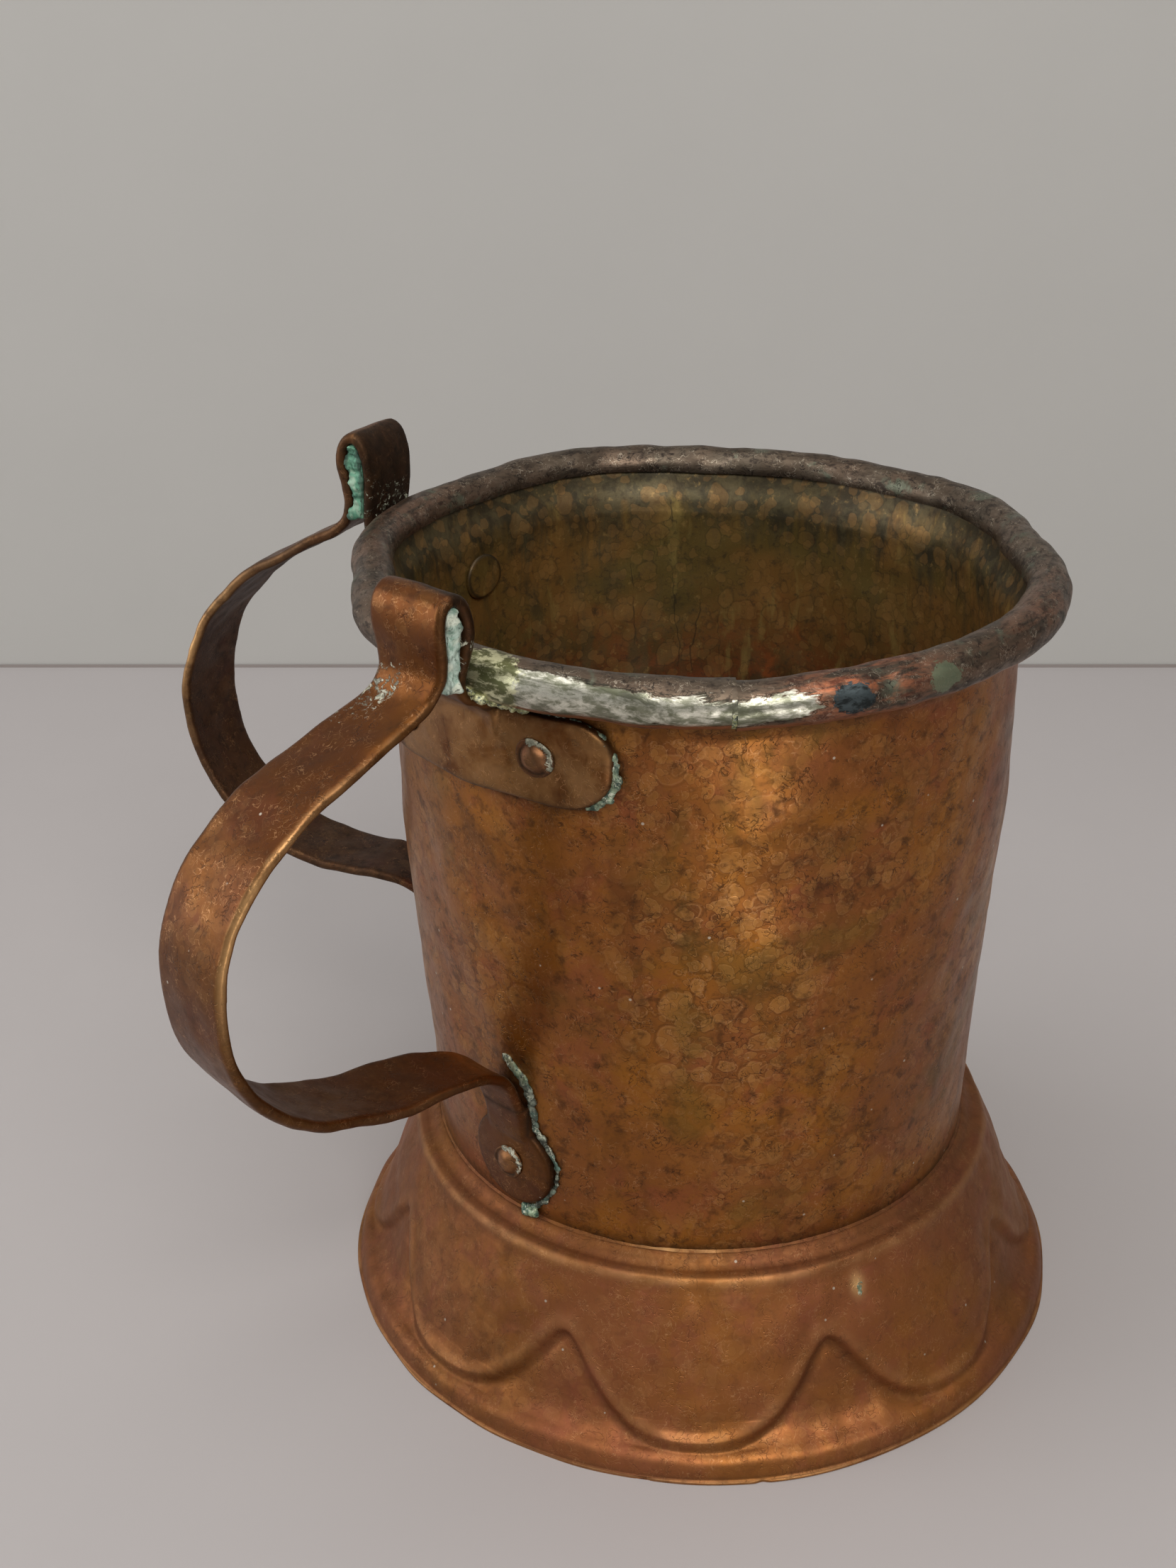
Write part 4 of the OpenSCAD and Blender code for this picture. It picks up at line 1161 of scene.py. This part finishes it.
    # masks: how near a point is to the strip's side edges
    local = spin(q, -plane)
    rz = np.stack([np.abs(local[:, 0]), local[:, 2]], -1)
    tree = KDTree(n)
    for i in range(n):
        tree.insert((path[i, 0], 0.0, path[i, 1]), i)
    tree.balance()
    idx = np.array([tree.find((a_, 0.0, b_))[1] for a_, b_ in rz])
    rel = (local[:, 1] - swing[idx] * rz[:, 0]) / half[idx]
    side = ((rz - path[idx]) * nor[idx]).sum(1)  # positive on the outer or upper face
    edge = smooth01((np.abs(rel) - 0.86) / 0.12)
    z = q[:, 2]
    free = smooth01((np.hypot(q[:, 0], q[:, 1]) - 63) / 3)
    # a painted highlight along one edge of the grip, about 121 mm up
    shine = lump(z, 121, 11) * (rel > 0)
    # lighter: a little on the free strap's edges, strongly at the painted highlight, and on the
    # upper plates
    wear_and_highlight = edge * free * (0.05 + 0.65 * shine) + 0.24 * (1 - free) * (z > 100)
    back_leg = smooth01(70.0 - rz[:, 0]) * smooth01((z - 147.0) / 2.0)
    # painted shade on the strap's inner face; the back leg of the thumb loop painted very dark
    dark = np.maximum(smooth01((-side - 0.2) / 0.6) * 0.45 * free, 0.9 * back_leg)
    # painted shade on the rounded edges, except at the painted highlight
    dark = np.maximum(dark, 0.42 * edge * free * (1 - shine))
    d = np.minimum(np.abs(plate_distance(q, plate_at)), np.abs(tail_distance(q, tail_at)))
    rim_line = (1 - free) * np.exp(-d / 0.7) * 0.95
    crust = (0.54 * lump(z, 147.5 + lift * 0.9, 4.6) * smooth01((rz[:, 0] - 70) / 2)
             * smooth01((0.35 - rel) / 0.5))
    crust = crust + 0.36 * lump(d, 0.0, 0.7) * (1 - free) * (z > 100)
    crust = crust + 0.45 * lump(z, 154, 7) * back_leg
    paint(obj, wear_and_highlight, np.maximum(dark, rim_line), crust)
    keep(obj, "copper_handle", node)
    return path, nor, top


FRONT_SKEW, REAR_SKEW = (1.0, 1.0), (-0.6, 0.0)
front_info = make_handle("front_strap", FRONT_PLANE, FRONT_PLATE, FRONT_TAIL, 0.0, 3.0, FRONT_SKEW,
                         2.5, 61, "front_handle", STRAP)
rear_info = make_handle("rear_strap", REAR_PLANE, REAR_PLATE, REAR_PLANE, 3.7, 3.5, REAR_SKEW, 0.0,
                        71, "rear_handle", SHADED)


# ---------------------------------------------------------------- rivets

def make_rivet(name, azimuth, z, node, seed):
    wall = float(body_r(z))
    r_in = wall - SHEET - 0.25
    r_out = float(body_r(z + 3.4)) + 2.06
    prof = [(0.05, r_in - 0.8), (4.2, r_in - 0.8), (4.6, r_in - 0.55), (4.7, r_in - 0.1),
            (4.6, r_in), (1.8, r_in), (1.8, r_out - 0.1), (3.35, r_out - 0.05),
            (3.42, r_out + 0.18), (3.2, r_out + 0.42), (2.8, r_out + 0.36), (2.6, r_out + 0.28),
            (2.3, r_out + 0.52), (1.9, r_out + 0.86), (1.3, r_out + 1.1), (0.7, r_out + 1.2),
            (0.05, r_out + 1.22)]
    path = soften(dense(prof, 0.22), 2)
    count = 72
    a = np.linspace(0, 2 * math.pi, count, endpoint=False)
    g = np.random.default_rng(seed)
    k = 1 + 0.05 * np.sin(2 * a + g.random() * 6) + 0.03 * np.sin(3 * a + g.random() * 6)
    y = np.outer(np.cos(a) * k, path[:, 0])
    zz = np.outer(np.sin(a) * k, path[:, 0]) + z
    x = np.tile(path[:, 1], (count, 1))
    p = np.stack([x, y, zz], -1).reshape(-1, 3)
    out = p[:, 0] > r_out - 0.2
    p[:, 0] += 0.07 * waves(p, 2.2, seed) * out
    p[:, 0] = np.minimum(p[:, 0], r_out + 1.55)
    faces = [tuple(f) for f in grid_faces(count, len(path), True, False)]
    faces.append(tuple(i * len(path) for i in range(count)))
    faces.append(tuple(i * len(path) + len(path) - 1 for i in range(count))[::-1])
    obj = new_mesh_object(name, spin(p, azimuth), faces, (RIVET, INSIDE), sharp=60)
    within = np.array([p[list(f), 0].mean() < wall - 0.6 for f in faces])
    obj.data.polygons.foreach_set("material_index", within.astype(np.int32))
    r = np.hypot(p[:, 1], p[:, 2] - z)
    groove = (0.9 * lump(r, 2.65, 0.28) * out + 0.7 * lump(r, 3.5, 0.2) * out
              + 0.8 * lump(r, 4.4, 0.3) * ~out)
    wear_and_highlight = 0.45 * lump(r, 0.0, 1.2) * out
    compass = np.arctan2(p[:, 2] - z, p[:, 1])
    white = 0.66 * lump(r, 2.95, 0.8) * out * smooth01((np.cos(compass - 0.75) + 0.1) / 0.5)
    paint(obj, wear_and_highlight * 0.25, groove * np.where(out, 1 - white, 1), white)
    return keep(obj, "rivet", node)


turn = math.degrees(RIVET_OFF / MOUTH_R)
for side, plane, plate, tail in (("front", FRONT_PLANE, FRONT_PLATE, FRONT_TAIL),
                                 ("rear", REAR_PLANE, REAR_PLATE, REAR_PLANE)):
    spots = {"left": (plate - turn, PLATE_Z + 0.4), "right": (plate + turn, PLATE_Z + 0.4),
             "lower": (tail, TAIL_Z)}
    for j, (where, (az, z)) in enumerate(spots.items()):
        make_rivet(f"{side}_{where}_rivet_head", az, z, f"{side}_{where}_rivet",
                   80 + j + (10 if side == "rear" else 0))


# ---------------------------------------------------------------- solder and verdigris

def blob_mesh(name, blobs, material, voxel, rounds, seed, rough, slot, nodes,
              masks=(0.0, 0.0, 0.0)):
    """Many small balls fused into one lumpy crust. Each blob is (point, radius, axis, squash
    along that axis)."""
    bm = bmesh.new()
    bmesh.ops.create_icosphere(bm, subdivisions=2, radius=1.0)
    ball = np.array([v.co[:] for v in bm.verts])
    tri = [tuple(v.index for v in f.verts) for f in bm.faces]
    bm.free()
    verts, faces, count = [], [], 0
    for centre, radius, axis, squash in blobs:
        c = np.asarray(centre, float)
        ax = np.asarray(axis, float)
        ax = ax / np.linalg.norm(ax)
        v = ball * radius
        along = v @ ax
        v = v - np.outer(along, ax) * (1 - squash)
        verts.append(v + c)
        faces.extend(tuple(i + count for i in t) for t in tri)
        count += len(ball)
    obj = new_mesh_object(name, np.concatenate(verts), faces, (material,), sharp=180)
    voxel_union(obj, voxel, rounds)
    p = points_of(obj)
    no = normals_of(obj)
    p = p + no * (rough * (0.6 * waves(p, 1.8, seed) + 0.4 * waves(p, 0.8, seed + 1)))[:, None]
    set_points(obj, p)
    paint(obj, *masks)
    return keep(obj, slot, *nodes)


def outward(p):
    v = np.array([p[0], p[1], 0.0])
    return v / np.linalg.norm(v)


def crust_line(line, sizes, azimuth, seed, height, spread=0.2, squash=0.85):
    """Small lumps strung along a line on the wall. Sizes run along the line."""
    g = np.random.default_rng(seed)
    n = len(line)
    out = []
    for i, (s, z) in enumerate(line):
        uneven = 0.72 + 0.34 * abs(math.sin(i * 0.37 + seed)) + 0.25 * g.random()
        size = float(np.interp(i / n, *zip(*sizes))) * uneven
        off = g.normal(size=2) * spread * size
        p = spin(on_wall(s + off[0], z + off[1], height), azimuth)
        out.append((p, size, outward(p), squash))
    return out


def plate_crust(side, azimuth, seed, flux):
    """Solder along the plate's top edge, round its right-hand end and up to the rim beside the
    thumb loop. Flux is how yellow-green it is by the loop."""
    g = np.random.default_rng(seed)
    path = [(7.4, 142.9), (11.5, 142.6), (16.7, 142.0), (21.5, 141.6), (24.2, 140.3), (26.1, 137.9),
            (27.2, 134.7), (27.1, 131.8), (25.4, 128.6), (22.6, 126.9)]
    line = even(catmull(path, 8), 0.4)
    blobs = crust_line(line, [(0, 0.55), (0.3, 0.42), (0.5, 0.5), (0.6, 0.85), (0.85, 0.8),
                              (1, 0.45)], azimuth, seed, 0.7, 0.32, 0.6)
    left = even(catmull([(-20.0, 142.2), (-12.0, 142.8), (-7.0, 143.0)], 8), 0.45)
    blobs += crust_line(left, [(0, 0.4), (1, 0.55)], azimuth, seed + 3, 0.7, 0.32, 0.6)
    for _ in range(70):
        a = g.random()
        s = 7.0 + 6.5 * a
        z = 142.8 + (4.6 - 3.6 * a) * g.random()
        lean = np.clip((z - 142.8) / 3.4, 0, 1) * 6.4
        p = spin(on_wall(s, z, 1.6 + lean + 0.3 * g.normal()), azimuth)
        blobs.append((p, 0.45 + 0.45 * g.random(), outward(p), 0.8))
    obj = blob_mesh(f"{side}_plate_crust", blobs, SOLDER, 0.24, 2, seed, 0.14, "solder",
                    (f"{side}_plate_solder",))
    q = points_of(obj)
    s = np.radians(turn_of(q, azimuth)) * MOUTH_R
    paint(obj, flux * smooth01((17 - s) / 5), 0.0, 0.55 * smooth01((s - 20) / 3))
    return obj


def tail_crust(side, azimuth, seed):
    """Solder beside the neck and the lower lobe, ending in a green blob under it."""
    g = np.random.default_rng(seed)
    path = [(0.1, 71.0), (2.4, 69.4), (4.4, 67.0), (5.2, 64.5), (5.7, 60.5), (6.2, 57.4),
            (8.2, 54.6), (9.8, 52.3), (10.6, 49.6), (10.2, 46.2), (8.4, 43.2), (5.6, 39.8),
            (3.0, 37.8)]
    line = even(catmull(path, 8), 0.36)
    blobs = crust_line(line, [(0, 0.7), (0.15, 0.9), (0.4, 0.62), (0.6, 0.5), (0.8, 0.42),
                              (1, 0.7)], azimuth, seed, 0.4, 0.34, 0.6)
    for _ in range(16):
        p = spin(on_wall(1.8 + 3.0 * g.random(), 37.2 + 1.1 * g.random(), 0.6 + 0.5 * g.random()),
                 azimuth)
        blobs.append((p, 0.7 + 0.3 * g.random(), outward(p), 0.8))
    obj = blob_mesh(f"{side}_tail_crust", blobs, SOLDER, 0.24, 2, seed, 0.10, "solder",
                    (f"{side}_tail_solder",))
    q = points_of(obj)
    paint(obj, 0.25 * smooth01((q[:, 2] - 66) / 3), 0.0, smooth01((40.0 - q[:, 2]) / 1.5))
    return obj


def loop_fill(side, info, plane, skew, low, seed, material):
    """The green filling of a thumb loop, flush with the strap's edges, above the height low."""
    path, nor, top = info
    aside = skew * 6.5  # how far the loop stands off its plane
    inner = path - nor * 0.92
    span = [i for i in range(len(path)) if path[i, 1] > 147.4 and i < top + 40 and i > 5]
    loop = inner[min(span):max(span) + 1]
    loop = loop[loop[:, 1] > low]
    n = len(loop)
    rows = []
    ys = np.concatenate([[-7.35], np.linspace(-7.1, 7.1, 9), [7.35]])
    for y in ys:
        pinch = 0.985 if abs(y) > 7.2 else 1.0
        c = loop.mean(0)
        q = c + (loop - c) * pinch
        rows.append(np.stack([q[:, 0], np.full(n, y), q[:, 1]], -1))
    p = np.concatenate(rows)
    x, y = turned(p[:, 0], p[:, 1], aside / np.maximum(p[:, 0], 60))
    p = np.stack([x, y, p[:, 2]], -1)
    faces = tube_faces(len(ys), n)
    obj = new_mesh_object(f"{side}_loop_fill", spin(p, plane), faces, (material,), sharp=180)
    voxel_union(obj, 0.28, 3)
    q = points_of(obj)
    no = normals_of(obj)
    local = spin(q, -plane - math.degrees(aside / 70))
    end = smooth01((np.abs(local[:, 1]) - 6.4) / 0.6)
    push = 0.22 * waves(q, 3.4, seed) + 0.12 * waves(q, 1.3, seed + 1) - 0.12
    q = q + no * (end * push)[:, None]
    set_points(obj, q)
    # dark gaps where the filling meets the strap
    mid_r = np.interp(q[:, 2], [147.6, 150, 158, 163], [69.8, 69.9, 69.8, 69.9])
    wide = np.interp(q[:, 2], [147.6, 150, 158, 163], [1.2, 1.1, 1.9, 1.2])
    gap = smooth01((np.abs(local[:, 0] - mid_r) - wide * 0.62) / 0.5)
    paint(obj, 0.0, 0.65 * gap * end, 0.0)
    return keep(obj, "green_solder", f"{side}_loop_solder")


plate_crust("front", FRONT_PLATE, 101, 1.0)
plate_crust("rear", REAR_PLATE, 111, 0.5)
tail_crust("front", FRONT_TAIL, 121)
tail_crust("rear", REAR_PLANE, 131)
loop_fill("front", front_info, FRONT_PLANE, FRONT_SKEW[0], 147.6, 141, GREEN)
loop_fill("rear", rear_info, REAR_PLANE, REAR_SKEW[0], 150.6, 151, DEEP_GREEN)


# ---------------------------------------------------------------- stage, light and camera

def stage_material(name, color, rough):
    s = Shade(name)
    a = s.noise(40, 3, 0.5, w=1.0)
    b = s.noise(3, 3, 0.6, w=2.0)
    darker = tuple(c * 0.96 for c in color)
    c = s.mix(a, color, darker)
    n = s.bump(b, 0.1, 0.03)
    return s.finish(c, rough, 0.0, n)


CAM_DIST, CAM_H = 307.0, 250.3
YAW, PITCH, ROLL = -0.0702, 0.4416, -0.0230
FOCAL = 40.61


def unit(angle_deg):
    a = math.radians(angle_deg)
    return Vector((math.cos(a), math.sin(a), 0))


toward_camera = unit(FRONT)
cam_at = toward_camera * CAM_DIST + Vector((0, 0, CAM_H))
ahead = -toward_camera
to_right = Vector((ahead.y, -ahead.x, 0))
flat = ahead * math.cos(YAW) + to_right * math.sin(YAW)
look = flat * math.cos(PITCH) - Vector((0, 0, 1)) * math.sin(PITCH)
right = look.cross(Vector((0, 0, 1))).normalized()
upward = right.cross(look)
right, upward = (right * math.cos(ROLL) + upward * math.sin(ROLL),
                 -right * math.sin(ROLL) + upward * math.cos(ROLL))
cam_data = bpy.data.cameras.new("camera")
cam_data.sensor_fit = "VERTICAL"
cam_data.sensor_height = 36.0
cam_data.lens = FOCAL
cam = bpy.data.objects.new("camera", cam_data)
rot = Matrix((right, upward, -look)).transposed()
cam.matrix_world = Matrix.Translation(cam_at * MM) @ rot.to_4x4()
bpy.context.scene.collection.objects.link(cam)
bpy.context.scene.camera = cam

# the table, and a plain wall behind it
# The corner of table and wall is level in the view, this far above its middle.
CORNER_UP = 0.0661
HALF_ROOM = 1500  # mm of table and wall to each side
TABLE_DEPTH, WALL_HEIGHT, CORNER_SHADE_HEIGHT = 2200, 1500, 1.3


def on_table(u):
    """Where the view ray u to the right of the middle, on the corner's line, meets the table."""
    ray = look + right * u + upward * CORNER_UP
    p = cam_at + ray * (-cam_at.z / ray.z)
    return Vector((p.x, p.y, 0.0))


TABLE = stage_material("pale_table", srgb(163, 158, 157), 0.55)
WALL = stage_material("pale_wall", srgb(173, 171, 167), 0.8)
along = (on_table(0.3) - on_table(-0.3)).normalized()
corner = on_table(0.0)
front_way = Vector((along.y, -along.x, 0))
if front_way.dot(toward_camera) < 0:
    front_way = -front_way


def room_piece(name, start, away, material):
    """A flat piece that runs along the room's corner at start, and from there to start + away."""
    n = 24
    half = along * HALF_ROOM
    a, b, c, d = (np.array(v) for v in (start - half, start + half, start + away + half,
                                        start + away - half))
    u = np.linspace(0, 1, n)[:, None, None]
    v = np.linspace(0, 1, n)[None, :, None]
    p = (a * (1 - u) * (1 - v) + b * u * (1 - v) + c * u * v + d * (1 - u) * v).reshape(-1, 3)
    obj = new_mesh_object(name, p, grid_faces(n, n, False, False), (material,), sharp=30)


room_piece("table", corner, front_way * TABLE_DEPTH, TABLE)
room_piece("wall", corner, Vector((0, 0, WALL_HEIGHT)), WALL)
# a painted shadow where the table meets the wall: a thin darker strip just in front of the wall
CORNER_SHADE = stage_material("corner_shadow", srgb(138, 130, 126), 0.9)
room_piece("corner_shadow_strip", corner + front_way * 0.5, Vector((0, 0, CORNER_SHADE_HEIGHT)), CORNER_SHADE)


def area_light(name, at, target, size_x, size_y, power, color, spread=180):
    data = bpy.data.lights.new(name, "AREA")
    data.shape = "RECTANGLE"
    data.size = size_x * MM
    data.size_y = size_y * MM
    data.energy = power
    data.spread = math.radians(spread)
    data.color = color
    obj = bpy.data.objects.new(name, data)
    at = Vector(at) * MM
    aim = (Vector(target) * MM - at).to_track_quat("-Z", "Y")
    obj.matrix_world = Matrix.Translation(at) @ aim.to_matrix().to_4x4()
    bpy.context.scene.collection.objects.link(obj)
    obj.visible_camera = False


area_light("key", toward_camera * 900 + to_right * 260 + Vector((0, 0, 900)), (0, 0, 90), 600, 450,
           9.3, (1.0, 0.98, 0.95))
area_light("top", toward_camera * 100 - to_right * 200 + Vector((0, 0, 1500)), (0, 0, 0), 1600,
           1600, 15.0, (1.0, 0.99, 0.98))
area_light("left", toward_camera * 200 - to_right * 1300 + Vector((0, 0, 500)), (0, 0, 90), 900,
           900, 8.6, (0.97, 0.98, 1.0))
# a small bright card low in front, out of view, that the upper wall mirrors
card = unit(FRONT + 17)
area_light("card", card * 325 + Vector((0, 0, 14)), card * 57 + Vector((0, 0, 132)), 110, 50, 0.012,
           (1.0, 0.97, 0.95), spread=50)

world = bpy.data.worlds.new("room")
world.use_nodes = True
bg = world.node_tree.nodes["Background"]
bg.inputs["Color"].default_value = (0.80, 0.78, 0.76, 1)
bg.inputs["Strength"].default_value = 0.36
bpy.context.scene.world = world
bpy.context.scene.view_settings.view_transform = "Standard"
